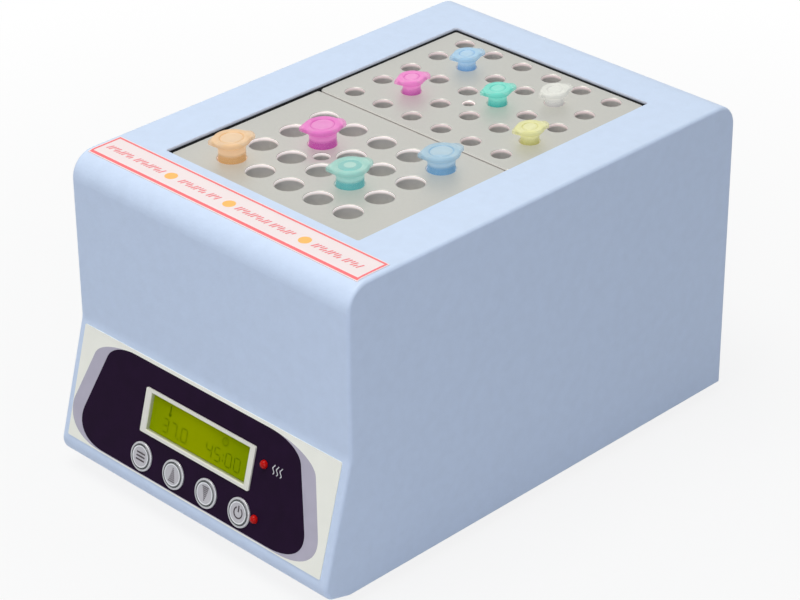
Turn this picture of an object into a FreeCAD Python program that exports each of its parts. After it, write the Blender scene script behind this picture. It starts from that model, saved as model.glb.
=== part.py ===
import FreeCAD, Part
import math
import os

# Dry bath incubator with two lift-out aluminium blocks. All sizes are millimetres.
# Housing coordinates: x = 0 is the middle, +y runs from the front wall to the rear,
# y = 0 is the upright part of the front wall, z = 0 the bottom edge of the housing.
# put() shifts everything at the end so that the feet stand on z = 0 and the whole
# part is centred on x = 0, y = 0.

os.makedirs("parts", exist_ok=True)
V = FreeCAD.Vector

# General fits
touch_gap = 0.2        # loose piece resting on its seat
slip_gap = 0.3         # round piece moving in a round hole
pivot_gap = 0.05       # radial running clearance of the rocker's pivots
panel_gap = 0.25       # sheet beside sheet
cut_gap = 0.2          # part in its cut-out
lens_gap = 0.05        # display lens in its frame

# Aluminium blocks and their wells
block_w = 100.0
block_d = 76.05
block_h = 42.0
block_chamfer = 0.5
block_corner = 1.5
block_seam = 1.0       # between the two blocks
block_side_gap = 1.0   # between the blocks and the cover's edge
block_drop = 1.2       # how far the blocks sit below the top of the cover
well_chamfer = 0.25

small_cols = 6
small_rows = 5
small_pitch_x = 15.5
small_pitch_y = 15.4
small_tube_r = 3.6
large_cols = 5
large_rows = 4
large_pitch_x = 15.4
large_pitch_y = 15.8
small_back = 0.7       # small wells behind the middle of their block
large_ahead = 0.8      # large wells ahead of the middle of their block
large_right = 0.3      # how far right the front block stands in the tray
large_tube_r = 5.25
lifting_hole_r = 2.25
lifting_hole_depth = 14.0
thermometer_hole_r = 3.35
thermometer_hole_depth = 30.0

# Tubes: lengths below and above the top of the block
small_straight = 12.0
small_cone = 11.7
small_tip_r = 1.5
small_stand = 6.8
small_cap_r = 5.45
small_cap_t = 1.3
large_straight = 14.2
large_cone = 17.2
large_tip_r = 1.8
large_stand = 8.6
large_cap_r = 6.6
large_cap_t = 1.6
cap_lip = 2.1          # thumb lip and hinge beyond the round cap
tube_wall = 0.9
rim_flare = 1.0        # flange under the cap, beyond the tube
rim_len = 2.3
lip_turn = 242.0       # direction of the thumb lip, degrees from +x

# Sheet metal cover
wall = 1.2
edge_r = 1.5
side_margin = 22.6
front_margin = 27.1
rear_margin = 24.8
top_front_r = 10.0
top_rear_r = 10.0
opening_corner_r = 1.0
side_lip = 12.0
front_lip = 14.0
rear_overhang = 3.0

# Sloped control panel, measured down the slope from the fold
slope_deg = 15.5
fold_r = 12.0
lip_r = 6.0
lip_rise = 3.8
overlay_w = 140.2
overlay_h = 45.6
overlay_top = 1.95
overlay_below = 1.65
overlay_t = 0.3
overlay_corner = 0.6
panel_shift = -1.1     # display and keys sit a little left of the middle

# Stack from the base plate up to the blocks
base_t = 1.5
bay_h = 68.0
clamp_t = 3.0
heater_t = 1.5
tray_floor_t = 8.0
tray_wall = 3.0
tray_gap = 0.6
tray_wall_h = 26.0
collar_wall = 4.0
jacket_t = 8.0
post_r = 4.0
post_inset = 6.0
post_screw = 8.0       # length of the threads in the posts
sensor_r = 2.0
sensor_head_r = 3.5
sensor_len = 26.0

# Feet and screws
foot_h = 4.0
foot_r = 7.0
foot_floor = 1.4       # rubber under the screw's head
m3_r = 1.5
m3_head_r = 2.8
m3_head_h = 1.8
m4_r = 2.0
m4_head_r = 3.6
m4_head_h = 2.4
screw_gap = 0.2

# Display, keys and lamps
frame_w = 60.0
frame_h = 17.7
frame_drop = 19.5      # centre of the display below the overlay's top edge
window_w = 54.1
window_h = 14.7
frame_proud = 0.7
frame_neck = 1.6
module_h = 5.5
window_drop = 0.5
window_t = 0.8
key_ring_r = 5.75
key_ring_w = 0.8
key_ring_proud = 0.7
key_proud = 0.9
key_pitch = 18.1
key_drop = 37.95
key_count = 4
key_travel = 0.5
key_dish = 0.25
skirt_h = 1.0
lamp_r = 1.7
lamp_x = 35.0          # lamps right of the display's centre
lamp_drops = (15.55, 37.3)

# Control board behind the panel
board_depth = 13.0     # from the cover's outer face to the board's front face
board_t = 1.6
board_w = 118.0
board_h = 40.0
board_centre_drop = 24.0
switch_body = 6.0
switch_h = 3.5
switch_button_r = 1.7
plunger_h = 0.8
# Chips on the control board: left, right, lower and upper edge, then the height
chip_sizes = (
    (-8.0, 8.0, -2.0, 12.0, 2.4),
    (22.0, 32.0, -3.0, 4.0, 2.0),
    (-44.0, -20.0, -3.5, 3.5, 8.0),
)

# Power board, heat sink and transformer in the bay
power_w = 84.0
power_d = 62.0
power_ahead = 22.0     # centre of the power board ahead of the opening's middle
standoff_h = 8.0
standoff_r = 3.0
standoff_neck = 1.8
sink_w = 30.0
sink_d = 12.0
sink_h = 26.0
sink_x = 2.0
fin_count = 6
core_w = 48.0
core_d = 22.0
core_h = 40.0
core_behind = 38.0     # middle of the transformer behind the power board
coil_window = 8.0
limb = 8.0

# Rear panel and mains parts
rear_flange = 12.0
flange_screw_x = 40.0
inlet_x = -29.0
inlet_z = 26.0
inlet_flange_w = 48.0
inlet_flange_h = 22.5
inlet_flange_t = 2.6
inlet_body_w = 27.0
inlet_body_h = 19.8
inlet_body_d = 23.0
inlet_socket_w = 24.0
inlet_socket_h = 16.6
inlet_socket_d = 17.5
inlet_key = 5.0
inlet_screw_pitch = 40.0
pin_w = 2.0
pin_t = 4.0
pin_len = 12.0
blade_pitch = 7.0
blade_drop = 2.0
blade_back = 8.0
switch_x = 16.0
switch_z = 26.0
rocker_w = 10.6
rocker_r = 8.7
rocker_tilt = 8.0
rocker_proud = 3.2
rocker_pivot_depth = 5.0
pivot_r = 1.4
pivot_len = 1.1
switch_rim = 2.2
switch_rim_t = 2.0
switch_wall = 1.6
terminal_len = 7.0
terminal_z = 6.0
vent_w = 3.0
vent_h = 22.0
vent_pitch = 7.5
vent_count = 9
vent_z = 84.0
base_vent_w = 30.0
base_vent_h = 3.0
base_vent_rows = 6

# Label on the cover, in front of the opening
strip_w = 142.6
strip_front = 6.8
strip_d = 15.8
strip_t = 0.25

# Derived sizes
opening_w = block_w + 2 * block_side_gap
opening_d = 2 * block_d + block_seam + 2 * block_side_gap
body_w = opening_w + 2 * side_margin
body_d = front_margin + opening_d + rear_margin
clamp_z = base_t + bay_h
heater_z = clamp_z + clamp_t
tray_z = heater_z + heater_t
seat_z = tray_z + tray_floor_t
block_z = seat_z + touch_gap
block_top = block_z + block_h
body_h = block_top + block_drop
opening_mid = front_margin + opening_d / 2
small_mid_y = opening_mid + (block_d + block_seam) / 2
large_mid_y = opening_mid - (block_d + block_seam) / 2
slope = math.radians(slope_deg)
panel_len = overlay_top + overlay_h + overlay_below + lip_r
fold_z = panel_len * math.cos(slope) + lip_rise
rear_top = body_h - top_rear_r - rear_overhang


def cyl(r, h, at, axis=V(0, 0, 1)):
    return Part.makeCylinder(r, h, at, axis)


def box(x0, x1, y0, y1, z0, z1):
    return Part.makeBox(x1 - x0, y1 - y0, z1 - z0, V(x0, y0, z0))


def corner_wire(points):
    """Closed wire through (y, z, radius) corners in the plane x = 0, each one rounded."""
    n = len(points)
    ends = []
    for i in range(n):
        a = V(0, points[i - 1][0], points[i - 1][1])
        b = V(0, points[i][0], points[i][1])
        c = V(0, points[(i + 1) % n][0], points[(i + 1) % n][1])
        r = points[i][2]
        u = (a - b).normalize()
        w = (c - b).normalize()
        half = u.getAngle(w) / 2
        if r <= 0:
            ends.append((b, None, b))
            continue
        t = r / math.tan(half)
        mid_dir = (u + w).normalize()
        centre = b + mid_dir * (r / math.sin(half))
        ends.append((b + u * t, centre - mid_dir * r, b + w * t))
    edges = []
    for i in range(n):
        start, mid, end = ends[i]
        if mid is not None:
            edges.append(Part.Arc(start, mid, end).toShape())
        nxt = ends[(i + 1) % n][0]
        if (nxt - end).Length > 1e-6:
            edges.append(Part.makeLine(end, nxt))
    return Part.Wire(edges)


def inset(points, d):
    """The same corners moved inward by d; listed with the inside on the left."""
    n = len(points)
    out = []
    for i in range(n):
        y0, z0 = points[i - 1][0], points[i - 1][1]
        y1, z1, r = points[i]
        y2, z2 = points[(i + 1) % n][0], points[(i + 1) % n][1]
        a = V(y1 - y0, z1 - z0, 0).normalize()
        b = V(y2 - y1, z2 - z1, 0).normalize()
        na = V(-a.y, a.x, 0)
        nb = V(-b.y, b.x, 0)
        k = d / (1 + na.dot(nb))
        turn = a.x * b.y - a.y * b.x
        new_r = 0.0
        if r > 0:
            new_r = max(r - d, 0.3) if turn > 0 else r + d
        out.append((y1 + (na.x + nb.x) * k, z1 + (na.y + nb.y) * k, new_r))
    return out


def prism(points, x0, x1):
    """Solid between x0 and x1 with the rounded corner outline."""
    face = Part.Face(corner_wire(points))
    face.translate(V(x0, 0, 0))
    return face.extrude(V(x1 - x0, 0, 0))


def rounded_plate(w, d, h, r, at):
    """Plate centred on at in x and y, with rounded upright corners."""
    shape = box(-w / 2, w / 2, -d / 2, d / 2, 0, h)
    upright = [e for e in shape.Edges if abs(e.tangentAt(e.FirstParameter).z) > 0.9]
    shape = shape.makeFillet(r, upright)
    shape.translate(at)
    return shape


def turned(points, at):
    """Solid turned about the upright axis through at, from an (r, z) outline."""
    wire = Part.makePolygon([V(r, 0, z) for r, z in points + [points[0]]])
    shape = Part.Face(wire).revolve(V(0, 0, 0), V(0, 0, 1), 360)
    shape.translate(at)
    return shape


def on_slope(shape):
    """Places a shape drawn flat: x right, y up the slope, z out of the panel."""
    moved = shape.copy()
    turn = FreeCAD.Rotation(V(1, 0, 0), 90 - slope_deg)
    moved.Placement = FreeCAD.Placement(V(0, 0, fold_z), turn).multiply(moved.Placement)
    return moved


def screw(r, length, head_r, head_h, at, axis):
    """Pan head screw with a cross slot; at is the underside of its head."""
    shank = cyl(r, length, V(0, 0, 0))
    head = cyl(head_r, head_h, V(0, 0, -head_h))
    rim = [e for e in head.Edges if abs(e.BoundBox.ZMax + head_h) < 1e-6]
    head = head.makeFillet(head_h * 0.4, rim)
    slot = box(-head_r * 0.62, head_r * 0.62, -0.3, 0.3, -head_h - 1, -head_h * 0.45)
    cross = slot.fuse(box(-0.3, 0.3, -head_r * 0.62, head_r * 0.62, -head_h - 1, -head_h * 0.45))
    shape = shank.fuse(head).cut(cross)
    shape.Placement = FreeCAD.Placement(at, FreeCAD.Rotation(V(0, 0, 1), axis))
    return shape


made = {}


def put(name, *solids):
    """Keeps the solids of one named piece for the export at the end."""
    made[name] = list(solids)


def grid(cols, rows, pitch_x, pitch_y, mid_x, mid_y):
    """Centres of a pattern of wells, from the front left."""
    return [
        (mid_x + pitch_x * (i - (cols - 1) / 2), mid_y + pitch_y * (j - (rows - 1) / 2))
        for j in range(rows)
        for i in range(cols)
    ]


# Sheet metal cover: front wall with its fold, top, rear bend and both sides are one
# folded and welded sheet. The lower front flares out and ends in a lip that is bent
# back square to the slope.
lip_y = -panel_len * math.sin(slope)
lip_end = lip_y + lip_rise / math.tan(slope)
outline = [
    (lip_end, 0, lip_r),
    (body_d, 0, 0),
    (body_d, body_h, top_rear_r),
    (0, body_h, top_front_r),
    (0, fold_z, fold_r),
    (lip_y, lip_rise, lip_r),
]
lip_back = lip_end + front_lip
half_w = body_w / 2
in_w = half_w - wall
cover = prism(outline, -half_w, half_w)
side_edges = [
    e for e in cover.Edges
    if abs(abs(e.BoundBox.XMin) - half_w) < 1e-6 and abs(e.BoundBox.XLength) < 1e-6
    and not (e.BoundBox.ZMax < 0.01)
]
cover = cover.makeFillet(edge_r, side_edges)
hollow = prism(inset(outline, wall), -in_w, in_w)
lip_top = base_t + wall
side_lip_y = lip_back + wall
cavity = hollow.common(box(-in_w, in_w, -panel_len, side_lip_y, 0, body_h))
cavity = cavity.fuse(hollow.common(box(-in_w, in_w, side_lip_y, body_d, lip_top, body_h)))
cover = cover.cut([
    cavity,
    box(-in_w + side_lip, in_w - side_lip, lip_back, body_d + 1, -1, lip_top + 0.1),
    box(-in_w, in_w, lip_back, body_d + 1, -1, base_t),
    box(-in_w, in_w, body_d - 2 * wall, body_d + 1, -1, rear_top),
])
opening = rounded_plate(opening_w, opening_d, 4 * wall, opening_corner_r,
                        V(0, opening_mid, body_h - 2 * wall))
cover = cover.cut(opening)

# Cut-outs of the sloped panel: one for the display, one per key, one per lamp.
overlay_mid = -overlay_top - overlay_h / 2
frame_y = -overlay_top - frame_drop
key_y = -overlay_top - key_drop
key_xs = [panel_shift + key_pitch * (i - (key_count - 1) / 2) for i in range(key_count)]
lamp_at = [(panel_shift + lamp_x, -overlay_top - d) for d in lamp_drops]
key_r = key_ring_r - key_ring_w - slip_gap
neck_r = key_r + slip_gap + 0.6
neck_w = window_w + 2 * frame_neck
neck_h = window_h + 2 * frame_neck - 1.4
hole_w = neck_w + 2 * screw_gap
hole_h = neck_h + 2 * screw_gap


def panel_holes(depth_in, depth_out):
    cuts = [box(panel_shift - hole_w / 2, panel_shift + hole_w / 2,
                frame_y - hole_h / 2, frame_y + hole_h / 2, -depth_in, depth_out)]
    for x in key_xs:
        cuts.append(cyl(neck_r + screw_gap, depth_in + depth_out, V(x, key_y, -depth_in)))
    for x, y in lamp_at:
        cuts.append(cyl(lamp_r + screw_gap, depth_in + depth_out, V(x, y, -depth_in)))
    return cuts


cover = cover.cut([on_slope(s) for s in panel_holes(2 * wall, 1)])

# Cover screws go up through the base plate into the side lips.
screw_x = in_w - side_lip / 2
cover_screw_at = [
    (sx * screw_x, y)
    for sx in (-1, 1)
    for y in (lip_back + 16, (lip_back + body_d) / 2, body_d - 22)
]
cover = cover.cut([cyl(m3_r, wall + 1, V(x, y, base_t - 0.5)) for x, y in cover_screw_at])
put("upper_housing", cover)

# Base plate with vent slots. The feet sit under the posts, and one screw holds both.
base_y0 = lip_back + panel_gap
base_y1 = body_d - wall - panel_gap
base_half = in_w - panel_gap
base = box(-base_half, base_half, base_y0, base_y1, 0, base_t)
base_cuts = [cyl(m3_r + screw_gap, base_t + 2, V(x, y, -1)) for x, y in cover_screw_at]
for i in range(base_vent_rows):
    for sx in (-1, 1):
        y = base_y0 + 30 + i * 3 * base_vent_h
        x = sx * (base_vent_w / 2 + 4)
        base_cuts.append(box(x - base_vent_w / 2, x + base_vent_w / 2,
                             y, y + base_vent_h, -1, base_t + 1))

# Posts carry the heated tray above the electronics bay.
tray_in_w = block_w + 2 * tray_gap
tray_in_d = 2 * block_d + block_seam + 2 * tray_gap
tray_w = tray_in_w + 2 * tray_wall
tray_d = tray_in_d + 2 * tray_wall
post_at = [
    (sx * (tray_w / 2 - post_inset), opening_mid + sy * (tray_d / 2 - post_inset))
    for sx in (-1, 1)
    for sy in (-1, 1)
]
base_cuts += [cyl(m4_r + screw_gap, base_t + 2, V(x, y, -1)) for x, y in post_at]

# Standoffs of the power board are pressed into the base plate.
power_z = base_t + standoff_h
power_y = opening_mid - power_ahead
power_at = [
    (sx * (power_w / 2 - 5), power_y + sy * (power_d / 2 - 5))
    for sx in (-1, 1)
    for sy in (-1, 1)
]
base_cuts += [cyl(standoff_neck, base_t + 2, V(x, y, -1)) for x, y in power_at]
flange_at = [(x, base_y1 - rear_flange / 2) for x in (-flange_screw_x, flange_screw_x)]
put("chassis_screws", *[
    screw(m3_r, base_t + wall + 2, m3_head_r, m3_head_h, V(x, y, 0), V(0, 0, 1))
    for x, y in cover_screw_at + flange_at
])
base_cuts += [cyl(m3_r + screw_gap, base_t + 2, V(x, y, -1)) for x, y in flange_at]
put("base_plate", base.cut(base_cuts))


def hex_nut(r_in, across, h, at, axis):
    wire = Part.makePolygon([
        V(across / 1.732 * math.cos(math.radians(60 * k)),
          across / 1.732 * math.sin(math.radians(60 * k)), 0)
        for k in range(7)
    ])
    shape = Part.Face(wire).extrude(V(0, 0, h)).cut(cyl(r_in, h + 2, V(0, 0, -1)))
    shape.Placement = FreeCAD.Placement(at, FreeCAD.Rotation(V(0, 0, 1), axis))
    return shape


posts = []
for x, y in post_at:
    post = cyl(post_r, tray_z - base_t, V(x, y, base_t))
    thread = cyl(m4_r, post_screw, V(x, y, base_t - 1))
    top = cyl(m4_r, post_screw, V(x, y, tray_z - post_screw + 1))
    posts.append(post.cut([thread, top]))
put("tray_posts", *posts)


def foot(x, y):
    shape = cyl(foot_r, foot_h, V(x, y, -foot_h))
    rim = [e for e in shape.Edges if abs(e.BoundBox.ZMax + foot_h) < 1e-6]
    shape = shape.makeFillet(0.8, rim)
    return shape.cut([
        cyl(m4_head_r + 2 * screw_gap, foot_h, V(x, y, -foot_h - foot_floor)),
        cyl(m4_r + screw_gap, foot_h + 2, V(x, y, -foot_h - 1)),
    ])


put("rubber_feet", *[foot(x, y) for x, y in post_at])
put("foot_screws", *[
    screw(m4_r, foot_floor + base_t + post_screw - 2, m4_head_r, foot_h - foot_floor - 0.6,
          V(x, y, -foot_floor), V(0, 0, 1))
    for x, y in post_at
])

# Heated tray: a thick floor with low walls, screwed down on the posts. The pad and
# its clamp plate hang under the floor.
tray = box(-tray_w / 2, tray_w / 2, opening_mid - tray_d / 2, opening_mid + tray_d / 2,
           tray_z, seat_z + tray_wall_h)
tray = tray.cut(box(-tray_in_w / 2, tray_in_w / 2, opening_mid - tray_in_d / 2,
                    opening_mid + tray_in_d / 2, seat_z, body_h))
clamp_w = tray_w - 4 * post_inset + 2
clamp_d = tray_d - 4 * post_inset + 2
clamp_screw_at = [
    (sx * (clamp_w / 2 - 8), opening_mid + sy * (clamp_d / 2 - 8))
    for sx in (-1, 1)
    for sy in (-1, 0, 1)
]
tray = tray.cut(
    [cyl(m4_r + screw_gap, tray_floor_t + 2, V(x, y, tray_z - 1)) for x, y in post_at]
    + [cyl(m4_head_r + screw_gap, m4_head_h + 1, V(x, y, seat_z - m4_head_h - 0.3))
       for x, y in post_at]
    + [cyl(m3_r, 6, V(x, y, tray_z - 1)) for x, y in clamp_screw_at]
)
sensor_z = tray_z + tray_floor_t / 2
sensor_y = opening_mid - tray_d / 2
tray = tray.cut(cyl(sensor_r + 0.1, sensor_len + 2, V(0, sensor_y - 1, sensor_z), V(0, 1, 0)))
put("heating_tray", tray)
put("tray_screws", *[
    screw(m4_r, tray_floor_t - m4_head_h + post_screw - 3, m4_head_r, m4_head_h - 0.1,
          V(x, y, seat_z - m4_head_h - 0.3), V(0, 0, -1))
    for x, y in post_at
])
pad = box(-clamp_w / 2 + 2, clamp_w / 2 - 2, opening_mid - clamp_d / 2 + 2,
          opening_mid + clamp_d / 2 - 2, heater_z, tray_z)
clamp = box(-clamp_w / 2, clamp_w / 2, opening_mid - clamp_d / 2, opening_mid + clamp_d / 2,
            clamp_z, heater_z)
put("heater_pad", pad.cut([
    cyl(m3_r + 3 * screw_gap, heater_t + 2, V(x, y, heater_z - 1)) for x, y in clamp_screw_at]))
put("clamp_plate", clamp.cut([
    cyl(m3_r + screw_gap, clamp_t + 2, V(x, y, clamp_z - 1)) for x, y in clamp_screw_at]))
put("clamp_screws", *[
    screw(m3_r, clamp_t + heater_t + 4, m3_head_r, m3_head_h, V(x, y, clamp_z), V(0, 0, 1))
    for x, y in clamp_screw_at
])
probe = cyl(sensor_r, sensor_len, V(0, sensor_y, sensor_z), V(0, 1, 0))
probe = probe.fuse(cyl(sensor_head_r, 3, V(0, sensor_y - 3, sensor_z), V(0, 1, 0)))
put("temperature_sensor", probe)
cutout_z = clamp_z - 6
put("thermal_cutout", rounded_plate(15, 15, 6, 2, V(0, opening_mid, cutout_z)).fuse(
    cyl(4, 3, V(0, opening_mid, cutout_z - 3))))

# Black collar between the tray and the cover, and the insulation round the tray.
collar_z = seat_z + tray_wall_h
collar_h = body_h - wall - collar_z
collar = rounded_plate(opening_w + 2 * collar_wall, opening_d + 2 * collar_wall, collar_h,
                       opening_corner_r + collar_wall, V(0, opening_mid, collar_z))
collar = collar.cut(rounded_plate(opening_w, opening_d, collar_h + 2, opening_corner_r,
                                  V(0, opening_mid, collar_z - 1)))
put("well_collar", collar)
jacket_w = tray_w + 2 * touch_gap
jacket_d = tray_d + 2 * touch_gap
jacket_h = collar_z - tray_z
jacket = rounded_plate(jacket_w + 2 * jacket_t, jacket_d + 2 * jacket_t, jacket_h,
                       jacket_t, V(0, opening_mid, tray_z))
jacket = jacket.cut([
    box(-jacket_w / 2, jacket_w / 2, opening_mid - jacket_d / 2, opening_mid + jacket_d / 2,
        tray_z - 1, collar_z + 1),
    cyl(sensor_head_r + cut_gap, jacket_t * 2, V(0, sensor_y - jacket_t - 1, sensor_z),
        V(0, 1, 0)),
])
put("insulation_jacket", jacket)

# Wells follow the tubes: a straight bore, then a cone that ends in a small flat.
small_at = grid(small_cols, small_rows, small_pitch_x, small_pitch_y,
                0, small_mid_y + small_back)
large_at = grid(large_cols, large_rows, large_pitch_x, large_pitch_y,
                large_right, large_mid_y - large_ahead)


def well(x, y, tube_r, straight, cone, tip_r):
    r = tube_r + slip_gap
    bottom = -straight - cone - touch_gap
    points = [
        (0, 2), (r + well_chamfer + 1, 2), (r + well_chamfer + 1, 1),
        (r + well_chamfer, 0), (r, -well_chamfer), (r, -straight - touch_gap),
        (tip_r + slip_gap, bottom), (0, bottom),
    ]
    return turned(points, V(x, y, block_top))


def well_block(mid_x, mid_y, cuts):
    shape = rounded_plate(block_w, block_d, block_h, block_corner, V(mid_x, mid_y, block_z))
    top = [e for e in shape.Edges if abs(e.BoundBox.ZMin - block_top) < 1e-6]
    return shape.makeChamfer(block_chamfer, top).cut(cuts)


small_wells = [
    well(x, y, small_tube_r, small_straight, small_cone, small_tip_r) for x, y in small_at
]
large_wells = [
    well(x, y, large_tube_r, large_straight, large_cone, large_tip_r) for x, y in large_at
]
# The lifting hole lies in the middle of four small wells, the thermometer hole in the
# middle of four large ones.
lift_x = 0.0
lift_y = small_mid_y + small_back - small_pitch_y / 2
thermo_x = large_right - large_pitch_x / 2
thermo_y = large_mid_y - large_ahead
small_wells.append(cyl(lifting_hole_r, lifting_hole_depth + 1,
                       V(lift_x, lift_y, block_top - lifting_hole_depth)))
small_wells.append(Part.makeCone(lifting_hole_r, lifting_hole_r + 1.2, 1.2,
                                 V(lift_x, lift_y, block_top - 0.5)))
large_wells.append(cyl(thermometer_hole_r, thermometer_hole_depth + 1,
                       V(thermo_x, thermo_y, block_top - thermometer_hole_depth)))
put("small_well_block", well_block(0, small_mid_y, small_wells))
put("large_well_block", well_block(large_right, large_mid_y, large_wells))


def tube(x, y, r, straight, cone, tip_r, stand, cap_r, cap_t):
    """Closed tube with its flat cap: thumb lip on one side, hinge on the other."""
    rim_z = stand - cap_t
    rim_r = r + rim_flare
    outer = [
        (0, -straight - cone), (tip_r, -straight - cone), (r, -straight),
        (r, rim_z - rim_len), (rim_r, rim_z - rim_len / 2), (rim_r, rim_z), (0, rim_z),
    ]
    inner = [
        (0, -straight - cone + 1.6), (tip_r - 0.7, -straight - cone + 1.4),
        (r - tube_wall, -straight), (r - tube_wall, rim_z - 2.2), (0, rim_z - 2.2),
    ]
    body = turned(outer, V(0, 0, 0)).cut(turned(inner, V(0, 0, 0)))
    cap = cyl(cap_r, cap_t, V(0, 0, rim_z))
    lip = cap_r + cap_lip
    flare = Part.makePolygon([
        V(0, -cap_r * 0.97, 0), V(lip, -1.1, 0), V(lip, 1.1, 0), V(0, cap_r * 0.97, 0),
        V(-lip, 1.9, 0), V(-lip, -1.9, 0), V(0, -cap_r * 0.97, 0),
    ])
    wings = Part.Face(flare).extrude(V(0, 0, cap_t * 0.62))
    wings.translate(V(0, 0, rim_z + cap_t * 0.2))
    cap = cap.fuse(wings)
    dimple = cyl(r * 0.82, 1, V(0, 0, stand - 0.45)).cut(cyl(r * 0.62, 1, V(0, 0, stand - 0.45)))
    shape = body.fuse(cap.cut(dimple)).removeSplitter()
    shape.Placement = FreeCAD.Placement(V(x, y, block_top),
                                        FreeCAD.Rotation(V(0, 0, 1), lip_turn))
    return shape


def well_number(name, cols, rows):
    """Place in the list of wells of the one named by its row letter and column."""
    from_back = ord(name[0]) - ord("A")
    return (rows - 1 - from_back) * cols + int(name[1]) - 1


def small_tube(name):
    x, y = small_at[well_number(name, small_cols, small_rows)]
    return tube(x, y, small_tube_r, small_straight, small_cone, small_tip_r,
                small_stand, small_cap_r, small_cap_t)


def large_tube(name):
    x, y = large_at[well_number(name, large_cols, large_rows)]
    return tube(x, y, large_tube_r, large_straight, large_cone, large_tip_r,
                large_stand, large_cap_r, large_cap_t)


# Rows are lettered from the back of each block, columns numbered from the left.
small_loaded = {
    "small_tube_blue": "B2",
    "small_tube_clear": "B5",
    "small_tube_green": "C4",
    "small_tube_pink": "D2",
    "small_tube_yellow": "D6",
}
large_loaded = {
    "large_tube_blue": "A5",
    "large_tube_magenta": "B2",
    "large_tube_teal": "C4",
    "large_tube_orange": "D1",
}
for name, place in small_loaded.items():
    put(name, small_tube(place))
for name, place in large_loaded.items():
    put(name, large_tube(place))

# Printed film on the sloped panel, cut out for the display, keys and lamps.
overlay = rounded_plate(overlay_w, overlay_h, overlay_t, overlay_corner, V(0, overlay_mid, 0))
put("control_overlay", on_slope(overlay.cut(panel_holes(1, 2))))

# Label that wraps a little over the top front bend.
bend_z = body_h - top_front_r


def bend_at(y, grow):
    """Height of the cover's top skin at y, raised square to the skin by grow."""
    r = top_front_r + grow
    if y >= top_front_r:
        return body_h + grow
    return bend_z + math.sqrt(r * r - (top_front_r - y) ** 2)


strip_mid = (strip_front + top_front_r) / 2
if strip_front < top_front_r:
    low = Part.Arc(V(0, strip_front, bend_at(strip_front, 0)),
                   V(0, strip_mid, bend_at(strip_mid, 0)),
                   V(0, top_front_r, body_h)).toShape()
    high = Part.Arc(V(0, top_front_r, body_h + strip_t),
                    V(0, strip_mid, bend_at(strip_mid, strip_t)),
                    V(0, strip_front, bend_at(strip_front, strip_t))).toShape()
    strip_flat = [
        Part.makeLine(V(0, top_front_r, body_h), V(0, strip_front + strip_d, body_h)),
        Part.makeLine(V(0, strip_front + strip_d, body_h),
                      V(0, strip_front + strip_d, body_h + strip_t)),
        Part.makeLine(V(0, strip_front + strip_d, body_h + strip_t),
                      V(0, top_front_r, body_h + strip_t)),
    ]
    close = Part.makeLine(V(0, strip_front, bend_at(strip_front, strip_t)),
                          V(0, strip_front, bend_at(strip_front, 0)))
    strip_face = Part.Face(Part.Wire([low] + strip_flat + [high, close]))
    strip = strip_face.extrude(V(strip_w, 0, 0))
    strip.translate(V(-strip_w / 2, 0, 0))
else:
    strip = box(-strip_w / 2, strip_w / 2, strip_front, strip_front + strip_d,
                body_h, body_h + strip_t)
put("top_label", strip)

# Display: a snap-in frame, a lens in it and the module behind.
frame_top = overlay_t + frame_proud
frame = rounded_plate(frame_w, frame_h, frame_proud, 0.6, V(panel_shift, frame_y, overlay_t))
frame = frame.fuse(box(panel_shift - neck_w / 2, panel_shift + neck_w / 2,
                       frame_y - neck_h / 2, frame_y + neck_h / 2, -2 * wall, overlay_t))
frame = frame.cut(box(panel_shift - window_w / 2, panel_shift + window_w / 2,
                      frame_y - window_h / 2, frame_y + window_h / 2, -3 * wall, 5))
top_rim = [
    e for e in frame.Edges
    if abs(e.BoundBox.ZMin - frame_top) < 1e-6 and e.Length > window_h - 1
    and e.BoundBox.XLength + e.BoundBox.YLength < window_w + 0.1
    and abs(e.BoundBox.Center.x - panel_shift) < window_w / 2 + 0.01
    and abs(e.BoundBox.Center.y - frame_y) < window_h / 2 + 0.01
]
frame = frame.makeChamfer(0.3, top_rim)
put("display_frame", on_slope(frame))
lens_z = frame_top - window_drop - window_t
lens = box(panel_shift - window_w / 2 + lens_gap, panel_shift + window_w / 2 - lens_gap,
           frame_y - window_h / 2 + lens_gap, frame_y + window_h / 2 - lens_gap,
           lens_z, lens_z + window_t)
put("display_lens", on_slope(lens))
module_z0 = -2 * wall - touch_gap
board_front = -board_depth
module = box(panel_shift - window_w / 2 - 4, panel_shift + window_w / 2 + 4,
             frame_y - window_h / 2 - 2.5, frame_y + window_h / 2 + 2.5,
             module_z0 - module_h, module_z0)
glass = box(panel_shift - window_w / 2 + 0.4, panel_shift + window_w / 2 - 0.4,
            frame_y - window_h / 2 + 0.4, frame_y + window_h / 2 - 0.4,
            module_z0 - 1, lens_z - touch_gap)
module = module.fuse(glass)
for sx in (-1, 1):
    for sy in (-1, 1):
        module = module.fuse(cyl(1.6, module_z0 - module_h - board_front + 1,
                                 V(panel_shift + sx * window_w / 2,
                                   frame_y + sy * (window_h / 2 - 0.5), board_front)))
put("display_module", on_slope(module))

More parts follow.
